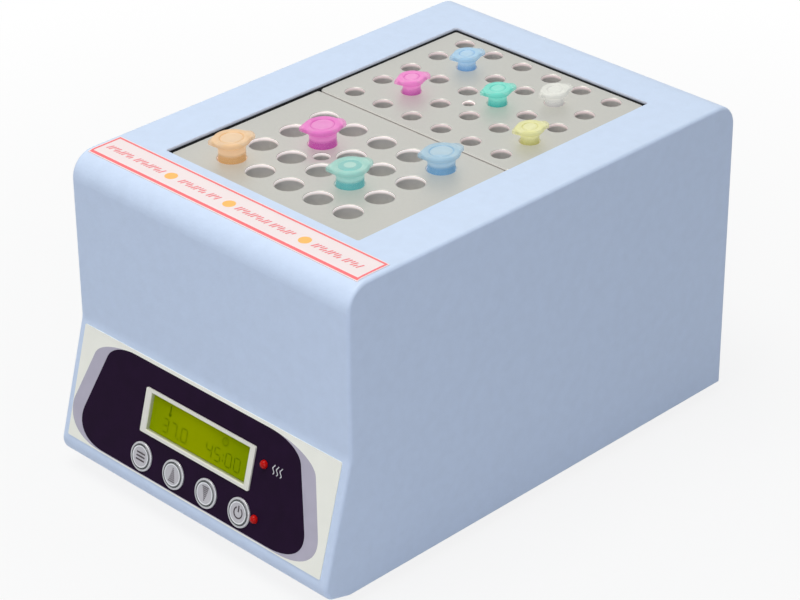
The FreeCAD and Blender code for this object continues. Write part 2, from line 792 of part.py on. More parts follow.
# Keys: a bright ring snapped into the panel and a cap that slides in it. A wider skirt
# behind the ring keeps the cap in.
ring_top = overlay_t + key_ring_proud
ring_in = key_r + slip_gap
rings = []
for x in key_xs:
    ring = cyl(key_ring_r, key_ring_proud, V(x, key_y, overlay_t))
    rim = [e for e in ring.Edges if abs(e.BoundBox.ZMin - ring_top) < 1e-6]
    ring = ring.makeFillet(0.3, rim)
    ring = ring.fuse(cyl(neck_r, wall + overlay_t + 0.6, V(x, key_y, -wall - 0.6)))
    rings.append(on_slope(ring.cut(cyl(ring_in, 10, V(x, key_y, -5)))))
put("key_rings", *rings)
skirt_z = -wall - 0.6 - touch_gap
skirt_r = neck_r
switch_top = board_front + switch_h
stem_end = switch_top + plunger_h + key_travel + 0.1
key_names = ["mode_key", "up_key", "down_key", "start_stop_key"]
for name, x in zip(key_names, key_xs):
    cap = cyl(key_r, key_proud + overlay_t - skirt_z, V(x, key_y, skirt_z))
    rim = [e for e in cap.Edges if abs(e.BoundBox.ZMin - overlay_t - key_proud) < 1e-6]
    cap = cap.makeFillet(0.4, rim)
    dish_r = (key_r - 0.9) ** 2 / (2 * key_dish) + key_dish / 2
    dish = Part.makeSphere(dish_r, V(x, key_y, overlay_t + key_proud + dish_r - key_dish))
    cap = cap.cut(dish)
    cap = cap.fuse(cyl(skirt_r, skirt_h, V(x, key_y, skirt_z - skirt_h)))
    cap = cap.fuse(cyl(1.8, skirt_z - skirt_h - stem_end, V(x, key_y, stem_end)))
    put(name, on_slope(cap))

# Lamps: domed red lenses on stems that stand on the board.
lamps = []
for x, y in lamp_at:
    stem = cyl(lamp_r, board_depth + overlay_t, V(x, y, board_front))
    dome = Part.makeSphere(lamp_r, V(x, y, overlay_t))
    collar_ring = cyl(lamp_r + 0.6, 1, V(x, y, -wall - 1.4))
    lamps.append(on_slope(stem.fuse(dome).fuse(collar_ring)))
put("indicator_lamps", *lamps)

# Control board on four pillars, with a switch behind each key.
board_y = -overlay_top - board_centre_drop
pillar_at = [
    (sx * (board_w / 2 - 4), board_y + sy * (board_h / 2 - 3.5))
    for sx in (-1, 1)
    for sy in (-1, 1)
]
board = rounded_plate(board_w, board_h, board_t, 1.5, V(0, board_y, board_front - board_t))
board = board.cut([
    cyl(m3_r + screw_gap, board_t + 2, V(x, y, board_front - board_t - 1))
    for x, y in pillar_at
])
put("control_board", on_slope(board))
pillar_h = board_depth - wall
put("board_pillars", *[
    on_slope(cyl(standoff_r, pillar_h, V(x, y, board_front)).cut(
        cyl(m3_r, 6, V(x, y, board_front - 0.5))))
    for x, y in pillar_at
])
board_screws = [
    on_slope(screw(m3_r, board_t + 4, m3_head_r, m3_head_h,
                   V(x, y, board_front - board_t), V(0, 0, 1)))
    for x, y in pillar_at
]
put("key_switches", *[
    on_slope(box(x - switch_body / 2, x + switch_body / 2, key_y - switch_body / 2,
                 key_y + switch_body / 2, board_front, switch_top).fuse(
        cyl(switch_button_r, plunger_h, V(x, key_y, switch_top))))
    for x in key_xs
])
chip_z = board_front - board_t
put("board_chips", *[
    on_slope(box(x0, x1, board_y + y0, board_y + y1, chip_z - h, chip_z))
    for x0, x1, y0, y1, h in chip_sizes
])

# Power board, its standoffs, and the parts on it.
put("power_board", box(-power_w / 2, power_w / 2, power_y - power_d / 2, power_y + power_d / 2,
                       power_z, power_z + board_t).cut([
    cyl(m3_r + screw_gap, board_t + 2, V(x, y, power_z - 1)) for x, y in power_at]))
put("power_standoffs", *[
    cyl(standoff_r, power_z - base_t, V(x, y, base_t)).fuse(
        cyl(standoff_neck, base_t, V(x, y, 0))).cut(
        cyl(m3_r, 6, V(x, y, power_z - 5.5)))
    for x, y in power_at
])
board_screws += [
    screw(m3_r, board_t + 4, m3_head_r, m3_head_h, V(x, y, power_z + board_t), V(0, 0, -1))
    for x, y in power_at
]
put("board_screws", *board_screws)
deck = power_z + board_t
relay = rounded_plate(19, 15.5, 15, 0.8, V(-26, power_y - 10, deck))
terminal = box(-20, 20, power_y + power_d / 2 - 13, power_y + power_d / 2 - 3, deck, deck + 12)
terminal = terminal.cut([
    cyl(1.9, 8, V(-15 + 10 * k, power_y + power_d / 2 - 8, deck + 7)) for k in range(4)
])
caps = [cyl(5, 14, V(30, power_y + dy, deck)) for dy in (-6, 8)]
fuse_holder = box(-6, 16, power_y - 28, power_y - 20, deck, deck + 9)
put("power_components", relay, terminal, fuse_holder, *caps)

# Finned heat sink with the switching device screwed to its face.
sink_y = power_y - 8
fin_pitch = sink_w / fin_count
fin_slots = [
    box(sink_x - sink_w / 2 + fin_pitch * (k + 0.5) - fin_pitch * 0.3,
        sink_x - sink_w / 2 + fin_pitch * (k + 0.5) + fin_pitch * 0.3,
        sink_y + 3, sink_y + sink_d + 1, deck - 1, deck + sink_h + 1)
    for k in range(fin_count)
]
sink = box(sink_x - sink_w / 2, sink_x + sink_w / 2, sink_y, sink_y + sink_d,
           deck, deck + sink_h)
put("heat_sink", sink.cut(fin_slots))
put("switching_device", box(sink_x - 5, sink_x + 5, sink_y - 4.5, sink_y, deck, deck + 16))

# Transformer on the base plate behind the power board.
trafo_x = 0.0
trafo_y = power_y + power_d / 2 + core_behind
core = box(trafo_x - core_w / 2, trafo_x + core_w / 2, trafo_y - core_d / 2,
           trafo_y + core_d / 2, base_t, base_t + core_h)
for sx in (-1, 1):
    mid = trafo_x + sx * (core_w / 4 - limb / 4 + 0.5)
    core = core.cut(box(mid - coil_window / 2, mid + coil_window / 2, trafo_y - core_d,
                        trafo_y + core_d, base_t + limb, base_t + core_h - limb))
put("transformer_core", core)
coil_x = core_w / 4 - limb / 4 + 0.5 + coil_window / 2 - 0.3
coil_in = core_w / 4 - limb / 4 + 0.5 - coil_window / 2
coil = rounded_plate(2 * coil_x, core_d + 12, core_h - 2 * limb - 1, 3,
                     V(trafo_x, trafo_y, base_t + limb + 0.5))
coil = coil.cut(box(trafo_x - coil_in, trafo_x + coil_in, trafo_y - core_d / 2 - 0.05,
                    trafo_y + core_d / 2 + 0.05, base_t, base_t + core_h))
put("transformer_coil", coil)

# Rear panel: a flat sheet between the sides with a flange on the base plate.
rear_y = body_d - wall
rear = box(-base_half, base_half, rear_y, body_d, 0, rear_top - panel_gap)
flange = box(-base_half + side_lip + 1, base_half - side_lip - 1, rear_y - rear_flange, rear_y,
             base_t, base_t + wall)
web = box(-base_half + side_lip + 1, base_half - side_lip - 1, rear_y - 0.01, rear_y + 0.5,
          0, base_t + wall)
rear = rear.fuse(flange).fuse(web.common(rear))
vent_x0 = -vent_pitch * (vent_count - 1) / 2
rear_cuts = [
    box(vent_x0 + vent_pitch * k - vent_w / 2, vent_x0 + vent_pitch * k + vent_w / 2,
        rear_y - 1, body_d + 1, vent_z - vent_h / 2, vent_z + vent_h / 2)
    for k in range(vent_count)
]
rear_cuts.append(box(inlet_x - inlet_body_w / 2 - cut_gap, inlet_x + inlet_body_w / 2 + cut_gap,
                     rear_y - 1, body_d + 1, inlet_z - inlet_body_h / 2 - cut_gap,
                     inlet_z + inlet_body_h / 2 + cut_gap))
inlet_screw_at = [inlet_x - inlet_screw_pitch / 2, inlet_x + inlet_screw_pitch / 2]
rear_cuts += [cyl(m3_r + screw_gap, 6, V(x, rear_y - 2, inlet_z), V(0, 1, 0))
              for x in inlet_screw_at]
rear_cuts += [cyl(m3_r, wall + 2, V(x, y, base_t - 0.5)) for x, y in flange_at]
slot_w = rocker_w + 2 * slip_gap
slot_h = 2 * (rocker_r + slip_gap)
switch_w = slot_w + 2 * switch_wall
switch_hh = slot_h + 2 * switch_wall
rear_cuts.append(box(switch_x - switch_w / 2 - cut_gap, switch_x + switch_w / 2 + cut_gap,
                     rear_y - 1, body_d + 1, switch_z - switch_hh / 2 - cut_gap,
                     switch_z + switch_hh / 2 + cut_gap))
put("rear_panel", rear.cut(rear_cuts))

# Mains inlet: an open socket with two corners cut, and three blades in it.
body = box(inlet_x - inlet_body_w / 2, inlet_x + inlet_body_w / 2, body_d - inlet_body_d,
           body_d, inlet_z - inlet_body_h / 2, inlet_z + inlet_body_h / 2)
plate = box(inlet_x - inlet_flange_w / 2, inlet_x + inlet_flange_w / 2, body_d,
            body_d + inlet_flange_t, inlet_z - inlet_flange_h / 2, inlet_z + inlet_flange_h / 2)
plate_ends = [e for e in plate.Edges if abs(e.tangentAt(e.FirstParameter).y) > 0.9]
plate = plate.makeFillet(4, plate_ends)
sw = inlet_socket_w / 2
sh = inlet_socket_h / 2
socket_wire = Part.makePolygon([
    V(inlet_x - sw, 0, inlet_z - sh), V(inlet_x + sw, 0, inlet_z - sh),
    V(inlet_x + sw, 0, inlet_z + sh - inlet_key), V(inlet_x + sw - inlet_key, 0, inlet_z + sh),
    V(inlet_x - sw + inlet_key, 0, inlet_z + sh), V(inlet_x - sw, 0, inlet_z + sh - inlet_key),
    V(inlet_x - sw, 0, inlet_z - sh),
])
socket = Part.Face(socket_wire).extrude(V(0, inlet_socket_d + 1, 0))
socket_floor = body_d + inlet_flange_t - inlet_socket_d
socket.translate(V(0, socket_floor, 0))
blade_at = [(-blade_pitch, -blade_drop), (blade_pitch, -blade_drop), (0.0, blade_drop)]


def blade(dx, dz, grow, y0, y1):
    return box(inlet_x + dx - pin_w / 2 - grow, inlet_x + dx + pin_w / 2 + grow, y0, y1,
               inlet_z + dz - pin_t / 2 - grow, inlet_z + dz + pin_t / 2 + grow)


inlet = body.fuse(plate).cut(
    [socket]
    + [blade(dx, dz, 0.0, body_d - inlet_body_d - 1, body_d) for dx, dz in blade_at]
    + [cyl(m3_r + screw_gap, inlet_flange_t + 2, V(x, body_d - 1, inlet_z), V(0, 1, 0))
       for x in inlet_screw_at]
)
put("power_inlet", inlet)
put("inlet_blades", *[
    blade(dx, dz, 0.0, body_d - inlet_body_d - blade_back, socket_floor + pin_len)
    for dx, dz in blade_at
])
put("inlet_screws", *[
    screw(m3_r, inlet_flange_t + wall + 4, m3_head_r, m3_head_h - 0.3,
          V(x, body_d + inlet_flange_t, inlet_z), V(0, -1, 0))
    for x in inlet_screw_at
])
put("inlet_nuts", *[
    hex_nut(m3_r + 0.02, 5.5, 2.4, V(x, rear_y, inlet_z), V(0, -1, 0)) for x in inlet_screw_at
])

# Power switch: a framed body snapped into the rear panel and a rocker that tips on
# two stub pivots. Its ends are round about the pivot, so they clear the slot.
rim_y = body_d + switch_rim_t
pivot_y = rim_y - rocker_pivot_depth
switch_depth = rocker_pivot_depth + rocker_r + slip_gap + switch_wall
frame_body = box(switch_x - switch_w / 2, switch_x + switch_w / 2, rim_y - switch_depth,
                 rim_y, switch_z - switch_hh / 2, switch_z + switch_hh / 2)
frame_rim = box(switch_x - switch_w / 2 - switch_rim, switch_x + switch_w / 2 + switch_rim,
                body_d, rim_y, switch_z - switch_hh / 2 - switch_rim,
                switch_z + switch_hh / 2 + switch_rim)
rim_edges = [e for e in frame_rim.Edges if abs(e.tangentAt(e.FirstParameter).y) > 0.9]
frame_rim = frame_rim.makeFillet(1.2, rim_edges)
slot = cyl(rocker_r + slip_gap, slot_w, V(switch_x - slot_w / 2, pivot_y, switch_z), V(1, 0, 0))
slot = slot.fuse(box(switch_x - slot_w / 2, switch_x + slot_w / 2, pivot_y, rim_y + 1,
                     switch_z - slot_h / 2, switch_z + slot_h / 2))
pivot_hole = cyl(pivot_r + pivot_gap, slot_w + 2 * pivot_len + 0.2,
                 V(switch_x - slot_w / 2 - pivot_len - 0.1, pivot_y, switch_z), V(1, 0, 0))
terminals = [
    box(switch_x - 3, switch_x + 3, rim_y - switch_depth - terminal_len,
        rim_y - switch_depth,
        switch_z + dz - 0.4, switch_z + dz + 0.4)
    for dz in (-terminal_z, terminal_z)
]
switch_frame = frame_body.fuse(frame_rim).cut([slot, pivot_hole])
put("switch_frame", switch_frame)
put("switch_terminals", *terminals)
rocker_top = rocker_pivot_depth + rocker_proud
fall = rocker_r * math.tan(math.radians(rocker_tilt))
rocker_wire = Part.makePolygon([
    V(0, -3.0, -rocker_r), V(0, -3.0, rocker_r), V(0, rocker_top, rocker_r),
    V(0, rocker_top - fall, 0), V(0, rocker_top, -rocker_r), V(0, -3.0, -rocker_r),
])
rocker = Part.Face(rocker_wire).extrude(V(rocker_w, 0, 0))
rocker.translate(V(-rocker_w / 2, 0, 0))
rocker = rocker.common(cyl(rocker_r, rocker_w, V(-rocker_w / 2, 0, 0), V(1, 0, 0)).fuse(
    box(-rocker_w / 2, rocker_w / 2, 0, rocker_top + 1, -rocker_r * 0.93, rocker_r * 0.93)))
stub = cyl(pivot_r, slot_w + 2 * pivot_len - 0.2,
           V(-slot_w / 2 - pivot_len + 0.1, 0, 0), V(1, 0, 0))
rocker = rocker.fuse(stub)
rocker.rotate(V(0, 0, 0), V(1, 0, 0), -rocker_tilt)
rocker.translate(V(switch_x, pivot_y, switch_z))
put("power_rocker", rocker)

# Export: every solid moves by the same shift, so the pieces stay in place together.
boxes = [s.BoundBox for solids in made.values() for s in solids]
y_low = min(b.YMin for b in boxes)
y_high = max(b.YMax for b in boxes)
shift = V(0, -(y_low + y_high) / 2, foot_h)
for name, solids in made.items():
    shape = solids[0] if len(solids) == 1 else Part.makeCompound(solids)
    moved = shape.copy()
    moved.translate(shift)
    moved.exportStep("parts/" + name + ".step")
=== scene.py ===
import bpy
import bmesh
import math
from mathutils import Matrix, Vector


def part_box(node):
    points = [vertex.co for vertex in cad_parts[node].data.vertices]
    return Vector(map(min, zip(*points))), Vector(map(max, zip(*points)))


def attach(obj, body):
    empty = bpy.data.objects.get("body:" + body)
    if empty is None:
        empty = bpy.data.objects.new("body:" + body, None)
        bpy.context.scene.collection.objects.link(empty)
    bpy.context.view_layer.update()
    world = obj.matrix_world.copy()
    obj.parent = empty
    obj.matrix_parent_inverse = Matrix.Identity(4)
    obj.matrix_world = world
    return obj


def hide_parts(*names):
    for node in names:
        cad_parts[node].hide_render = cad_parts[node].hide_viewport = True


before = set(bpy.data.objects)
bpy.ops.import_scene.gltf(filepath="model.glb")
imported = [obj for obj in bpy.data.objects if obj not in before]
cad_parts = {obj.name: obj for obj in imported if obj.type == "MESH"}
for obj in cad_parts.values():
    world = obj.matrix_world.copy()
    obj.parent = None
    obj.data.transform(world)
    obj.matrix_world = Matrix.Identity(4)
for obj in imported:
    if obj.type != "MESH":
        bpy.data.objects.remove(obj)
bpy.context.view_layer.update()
mm = 0.001

# Studio: a camera at eye height beside a bench, a broad soft lamp above, a card low at the
# front right, and a pale bench top that fades into white. The camera's own rays, and those
# through plastic or off metal, see plain white all round.
eye = (0.679018, -0.677944, 0.597847)
aim_turn, aim_lean, aim_roll = (math.radians(a) for a in (45.109, 60.561, -0.4276))
lens = bpy.data.cameras.new("camera")
lens.sensor_width = 36.0
lens.lens = 127.956
lens.clip_start = 0.01
camera = bpy.data.objects.new("camera", lens)
bpy.context.collection.objects.link(camera)
camera.matrix_world = (
    Matrix.Translation(eye) @ Matrix.Rotation(aim_turn, 4, "Z")
    @ Matrix.Rotation(aim_lean, 4, "X") @ Matrix.Rotation(aim_roll, 4, "Z")
)
bpy.context.scene.camera = camera


def srgb(red, green, blue):
    """A screen colour, 0 to 255, as the linear values that a socket takes."""
    def linear(c):
        c /= 255
        return c / 12.92 if c <= 0.04045 else ((c + 0.055) / 1.055) ** 2.4
    return (linear(red), linear(green), linear(blue), 1.0)


class Value:
    """One output in a finish. Arithmetic on it adds Math nodes to that finish."""

    def __init__(self, finish, socket):
        self.finish = finish
        self.socket = socket

    def math(self, operation, *operands):
        return self.finish.node("ShaderNodeMath", {"operation": operation},
                                dict(enumerate(operands)))

    def __add__(self, other):
        return self.math("ADD", self, other)

    def __sub__(self, other):
        return self.math("SUBTRACT", self, other)

    def __rsub__(self, other):
        return self.math("SUBTRACT", other, self)

    def __mul__(self, other):
        return self.math("MULTIPLY", self, other)

    __radd__ = __add__
    __rmul__ = __mul__


class Finish:
    """A material with one Principled shader. Constants go straight onto its sockets."""

    def __init__(self, name, colour, roughness, **constants):
        self.material = bpy.data.materials.new(name)
        self.material.use_nodes = True
        self.tree = self.material.node_tree
        self.shader = self.tree.nodes["Principled BSDF"]
        self.colour = colour
        self.roughness = roughness
        self.shader.inputs["Base Color"].default_value = colour
        self.shader.inputs["Roughness"].default_value = roughness
        for socket, value in constants.items():
            self.shader.inputs[socket.replace("_", " ")].default_value = value
        self.place = None

    def node(self, kind, settings, values, output=0):
        """Adds a node: its settings first, then the values or links of its sockets."""
        made = self.tree.nodes.new(kind)
        for name, setting in settings.items():
            setattr(made, name, setting)
        for socket, value in values.items():
            if isinstance(value, Value):
                self.tree.links.new(value.socket, made.inputs[socket])
            else:
                made.inputs[socket].default_value = value
        return Value(self, made.outputs[output])

    def at(self):
        """Place on the object, in metres."""
        if self.place is None:
            self.place = self.node("ShaderNodeTexCoord", {}, {}, "Object")
        return self.place

    def axis(self, name):
        """One part of that place: X, Y or Z."""
        return self.node("ShaderNodeSeparateXYZ", {}, {0: self.at()}, name)

    def size_of(self, value):
        """The value without its sign."""
        return self.node("ShaderNodeMath", {"operation": "ABSOLUTE"}, {0: value})

    def noise(self, size, detail=2.0, stretch=(1, 1, 1)):
        """Soft random values about 0.5; size is that of one blotch, in metres."""
        place = self.node("ShaderNodeMapping", {}, {"Vector": self.at(), "Scale": stretch})
        return self.node("ShaderNodeTexNoise", {}, {"Vector": place, "Scale": 0.5 / size,
                                                    "Detail": detail})

    def mix(self, factor, a, b):
        """Colour a where the factor is 0, and b where it is 1."""
        return self.node("ShaderNodeMix", {"data_type": "RGBA"}, {0: factor, 6: a, 7: b}, 2)

    def ramp(self, value, start, end, first=0.0, last=1.0):
        """Maps value from start..end to first..last, and no further."""
        return self.node("ShaderNodeMapRange", {}, {0: value, 1: start, 2: end, 3: first, 4: last})

    def feed(self, socket, value):
        """Links a value to the shader."""
        self.tree.links.new(value.socket, self.shader.inputs[socket])

    def mottle(self, size, shade=0.04, rough=0.05, detail=3.0, stretch=(1, 1, 1)):
        """Slight drift of colour and gloss, as on any real surface."""
        cloud = self.noise(size, detail, stretch)
        dark = tuple(c * (1 - shade) for c in self.colour[:3]) + (1.0,)
        pale = tuple(min(c * (1 + shade), 1) for c in self.colour[:3]) + (1.0,)
        drift = self.mix(cloud * 2.4 - 0.7, dark, pale)
        self.feed("Base Color", drift)
        self.feed("Roughness", cloud * (2 * rough) + (self.roughness - rough))
        return drift

    def relief(self, height, depth):
        """Bumps of that depth, in metres, from a 0 to 1 height."""
        self.feed("Normal", self.node("ShaderNodeBump", {}, {"Height": height,
                                                             "Strength": 1.0,
                                                             "Distance": depth}))

    def on(self, *nodes):
        """Gives CAD nodes this finish."""
        for node in nodes:
            for material_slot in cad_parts[node].material_slots:
                material_slot.material = self.material


def link(name, mesh, finish=None):
    """An object at the origin with that mesh, and with the finish if one is given."""
    made = bpy.data.objects.new(name, mesh)
    bpy.context.collection.objects.link(made)
    if finish:
        mesh.materials.clear()
        mesh.materials.append(finish.material)
    return made


half = 3.0                           # of the floor's width
fade_start, fade_end = 0.14, 0.45    # from the middle of the floor
white_share = 0.86                   # inside the fade
bench = Finish("bench_top", srgb(200, 201, 204), 0.9)
bench.mottle(0.02, 0.006, 0.02)
away = bench.node("ShaderNodeVectorMath", {"operation": "LENGTH"}, {0: bench.at()}, "Value")
fade = bench.ramp(away, fade_start, fade_end, white_share, 1.0)
seen, glossy, through = (bench.node("ShaderNodeLightPath", {}, {}, ray) for ray in (
    "Is Camera Ray", "Is Glossy Ray", "Is Transmission Ray"))
white = bench.node("ShaderNodeEmission", {}, {"Color": (1, 1, 1, 1), "Strength": 1.0})
direct = seen.math("MAXIMUM", seen, glossy.math("MAXIMUM", glossy, through))
lit = Value(bench, bench.shader.outputs[0])
blend = bench.node("ShaderNodeMixShader", {}, {0: fade * direct, 1: lit, 2: white})
bench.tree.links.new(blend.socket, bench.tree.nodes["Material Output"].inputs["Surface"])
plane = bpy.data.meshes.new("floor")
plane.from_pydata([(-half, -half, 0), (half, -half, 0), (half, half, 0), (-half, half, 0)],
                  [], [(0, 1, 2, 3)])
floor = link("floor", plane, bench)

sky = bpy.data.worlds.new("studio")
bpy.context.scene.world = sky
sky.use_nodes = True
air = sky.node_tree
room = air.nodes["Background"]
room.inputs["Color"].default_value = (0.84, 0.92, 1.0, 1.0)
room.inputs["Strength"].default_value = 0.345
backdrop = air.nodes.new("ShaderNodeBackground")
backdrop.inputs["Color"].default_value = (1, 1, 1, 1)
rays = air.nodes.new("ShaderNodeLightPath")
any_ray = rays.outputs["Is Camera Ray"]
for ray in ("Is Glossy Ray", "Is Transmission Ray"):
    either = air.nodes.new("ShaderNodeMath")
    either.operation = "MAXIMUM"
    air.links.new(any_ray, either.inputs[0])
    air.links.new(rays.outputs[ray], either.inputs[1])
    any_ray = either.outputs[0]
choose = air.nodes.new("ShaderNodeMixShader")
for k, socket in enumerate((any_ray, room.outputs[0], backdrop.outputs[0])):
    air.links.new(socket, choose.inputs[k])
air.links.new(choose.outputs[0], air.nodes["World Output"].inputs["Surface"])


def softbox(name, place, aim, size, power, colour):
    """A square soft lamp of that size at a place, turned to the aim."""
    lamp = bpy.data.lights.new(name, "AREA")
    lamp.color = colour
    lamp.size = size
    lamp.energy = power
    holder = bpy.data.objects.new(name, lamp)
    bpy.context.collection.objects.link(holder)
    holder.location = place
    holder.rotation_euler = (Vector(aim) - Vector(place)).to_track_quat("-Z", "Y").to_euler()


softbox("ceiling_lamp", (-0.12, -0.3, 1.6), (0, 0, 0.08), 0.9, 18.5, (1.0, 0.98, 0.9))
softbox("bench_card", (0.88, -1.06, 0.4), (0, 0, 0.1), 0.5, 4.0, (0.92, 0.93, 1.0))
bpy.context.scene.view_settings.view_transform = "Standard"

# Cover: folded and welded steel sheet with a fine textured powder coat in pale blue. The
# coat leaves a close orange peel with a slight drift in shade, and hides the welds.
powder_coat = Finish("powder_coat", srgb(201, 216, 241), 0.5)
powder_coat.mottle(0.0022, 0.02, 0.05, 4.0)
peel = powder_coat.noise(0.0007, 1.5)
powder_coat.relief(peel + powder_coat.noise(0.002, 1.0) * 0.6, 0.00007)
powder_coat.on("upper_housing")

# Base plate and rear panel: the same sheet with a thinner, smoother coat that is a shade
# greyer, screwed to the cover's lips from below and behind.
base_coat = Finish("base_coat", srgb(186, 202, 224), 0.55)
base_coat.mottle(0.003, 0.03, 0.05, 4.0)
base_coat.relief(base_coat.noise(0.0009, 1.5), 0.00005)
base_coat.on("base_plate", "rear_panel")

# Panel film: white polyester, printed from behind and stuck on the slope, with a lavender
# shape and a dark aubergine field over it. The prints are cut out for all that stands
# through them.
film_white = Finish("film_white", srgb(243, 242, 233), 0.45, Specular_IOR_Level=0.25)
film_white.mottle(0.004, 0.012, 0.04)
film_white.relief(film_white.noise(0.0005), 0.00001)
film_white.on("control_overlay")

from_upright = 15.5                  # the sloped panel, in degrees
panel_tilt = math.radians(90 - from_upright)
film_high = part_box("control_overlay")[1]
film_top = 1.95 * mm                 # from the fold's corner down to the film's upper edge
film_t = 0.3 * mm
panel = Matrix.Translation((
    0,
    film_high.y + film_top * math.cos(panel_tilt),
    film_high.z + film_top * math.sin(panel_tilt) - film_t * math.cos(panel_tilt),
)) @ Matrix.Rotation(panel_tilt, 4, "X")
# places on the panel in mm: x from its middle, drop from the fold's corner
display_x, display_drop = -1.1, 21.45
frame_cut_w, frame_cut_h = 57.5, 16.5
key_xs, key_drop, key_cut_r = (-28.25, -10.15, 7.95, 26.05), 39.9, 5.4
lamp_x, lamp_drops, lamp_cut_r = 33.9, (17.5, 39.25), 1.75
print_low, lavender_high, dark_high = 0.301, 0.325, 0.35


def circle(x, y, radius, count=64):
    """Outline of a circle about x, y."""
    return [(x + radius * math.cos(2 * math.pi * k / count),
             y + radius * math.sin(2 * math.pi * k / count)) for k in range(count)]


def rectangle(x, y, width, height):
    """Outline of a rectangle about x, y."""
    return [(x - width / 2, y - height / 2), (x + width / 2, y - height / 2),
            (x + width / 2, y + height / 2), (x - width / 2, y + height / 2)]


def swept_corners(corners, pull=0.6, steps=14):
    """Outline with soft corners, each given as its start, its sharp corner and its end."""
    points = []
    for start, corner, end in corners:
        a, c, b = Vector(start), Vector(corner), Vector(end)
        h, g = a.lerp(c, pull), b.lerp(c, pull)
        for k in range(steps + 1):
            t = k / steps
            u = 1 - t
            points.append(tuple(a * u ** 3 + h * (3 * u * u * t)
                                + g * (3 * u * t * t) + b * t ** 3))
    return points


def film(name, loops, low, high, place, finish):
    """Thin flat piece between two heights over place; inner loops are holes. Sizes in mm."""
    outline = bpy.data.curves.new(name, "CURVE")
    outline.dimensions = "2D"
    outline.fill_mode = "BOTH"
    outline.extrude = (high - low) / 2
    for loop in loops:
        spline = outline.splines.new("POLY")
        spline.points.add(len(loop) - 1)
        spline.use_cyclic_u = True
        for point, (x, y) in zip(spline.points, loop):
            point.co = (x, y, 0, 1)
    holder = bpy.data.objects.new(name + "_outline", outline)
    bpy.context.collection.objects.link(holder)
    bpy.context.view_layer.update()
    flat = bpy.data.meshes.new_from_object(
        holder.evaluated_get(bpy.context.evaluated_depsgraph_get()))
    bpy.data.objects.remove(holder)
    flat.name = name
    flat.transform(Matrix.Translation((0, 0, (high + low) / 2)))
    flat.transform(Matrix.Diagonal((mm, mm, mm, 1)))
    flat.transform(place)
    tidy = bmesh.new()
    tidy.from_mesh(flat)
    bmesh.ops.remove_doubles(tidy, verts=tidy.verts, dist=1e-7)
    bmesh.ops.recalc_face_normals(tidy, faces=tidy.faces)
    tidy.to_mesh(flat)
    tidy.free()
    return link(name, flat, finish)


cut_outs = [rectangle(display_x, -display_drop, frame_cut_w, frame_cut_h)]
cut_outs += [circle(x, -key_drop, key_cut_r) for x in key_xs]
cut_outs += [circle(lamp_x, -drop, lamp_cut_r, 32) for drop in lamp_drops]
lavender_shape = swept_corners([
    ((-62.3, -10.9), (-60.0, -4.6), (-41.6, -3.5)),
    ((38.3, -3.6), (56.9, -5.1), (59.3, -11.9)),
    ((65.8, -33.5), (69.2, -47.0), (47.3, -47.0)),
    ((-51.8, -47.0), (-72.2, -47.0), (-69.7, -32.4)),
])
dark_shape = swept_corners([
    ((-55.3, -9.8), (-53.2, -3.4), (-40.6, -3.4)),
    ((33.1, -3.4), (49.4, -3.4), (51.5, -10.9)),
    ((58.8, -33.5), (63.3, -46.7), (42.0, -46.7)),
    ((-49.4, -46.7), (-67.2, -46.7), (-63.4, -33.5)),
])
lavender_ink = Finish("lavender_ink", srgb(181, 176, 192), 0.5, Specular_IOR_Level=0.2)
lavender_ink.mottle(0.003, 0.03, 0.04)
dark_ink = Finish("dark_ink", srgb(32, 15, 40), 0.5, Specular_IOR_Level=0.04)
dark_ink.mottle(0.004, 0.12, 0.05)
dark_ink.relief(dark_ink.noise(0.0006), 0.00001)
lavender_print = film("panel_print_lavender", [lavender_shape] + cut_outs,
                      print_low, lavender_high, panel, lavender_ink)
dark_print = film("panel_print_dark", [dark_shape] + cut_outs,
                  print_low, dark_high, panel, dark_ink)
for piece in (lavender_print, dark_print):
    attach(piece, "housing")

# Display: a satin white plastic frame snapped through the panel, a clear lens sunk in it,
# and a reflective yellow-green display module behind, with plain figures and two signs.
frame_white = Finish("frame_white", srgb(224, 222, 213), 0.38, Coat_Weight=0.2)
frame_white.mottle(0.003, 0.015, 0.05)
frame_white.relief(frame_white.noise(0.0004), 0.000008)
frame_white.on("display_frame")
lens_clear = Finish("lens_clear", srgb(158, 172, 0), 0.5, Specular_IOR_Level=0.02, Alpha=0.15)
lens_clear.mottle(0.012, 0.06, 0.02)
lens_clear.on("display_lens")
display_green = Finish("display_green", srgb(158, 172, 0), 0.5, Specular_IOR_Level=0.0)
off_middle = display_green.size_of(display_green.axis("X") - (display_x - 2.0) * mm)
toward_ends = display_green.ramp(off_middle, 6.0 * mm, 27.0 * mm)
display_green.feed("Base Color", display_green.mix(toward_ends, srgb(166, 177, 0),
                                                   srgb(138, 160, 0)))
lines = display_green.node("ShaderNodeTexWave", {"bands_direction": "X"},
                           {"Vector": display_green.at(), "Scale": 260.0})
display_green.relief(lines, 0.000004)
display_green.on("display_module")

figure_ink = Finish("figure_ink", srgb(64, 94, 0), 0.5, Specular_IOR_Level=0.0)
figure_ink.mottle(0.002, 0.06, 0.04)
digit_w, digit_h, stroke = 3.0, 5.2, 0.42
flat_gap, upright_gap = 0.9, 0.5     # a bar is this much shorter than its side
segments = {                         # share of the width, share of the height, lies flat
    "a": (0.5, 1.0, 1), "b": (1.0, 0.75, 0), "c": (1.0, 0.25, 0), "d": (0.5, 0.0, 1),
    "e": (0.0, 0.25, 0), "f": (0.0, 0.75, 0), "g": (0.5, 0.5, 1),
}
lit_segments = {"0": "abcdef", "3": "abgcd", "4": "fgbc", "5": "afgcd", "7": "abc"}


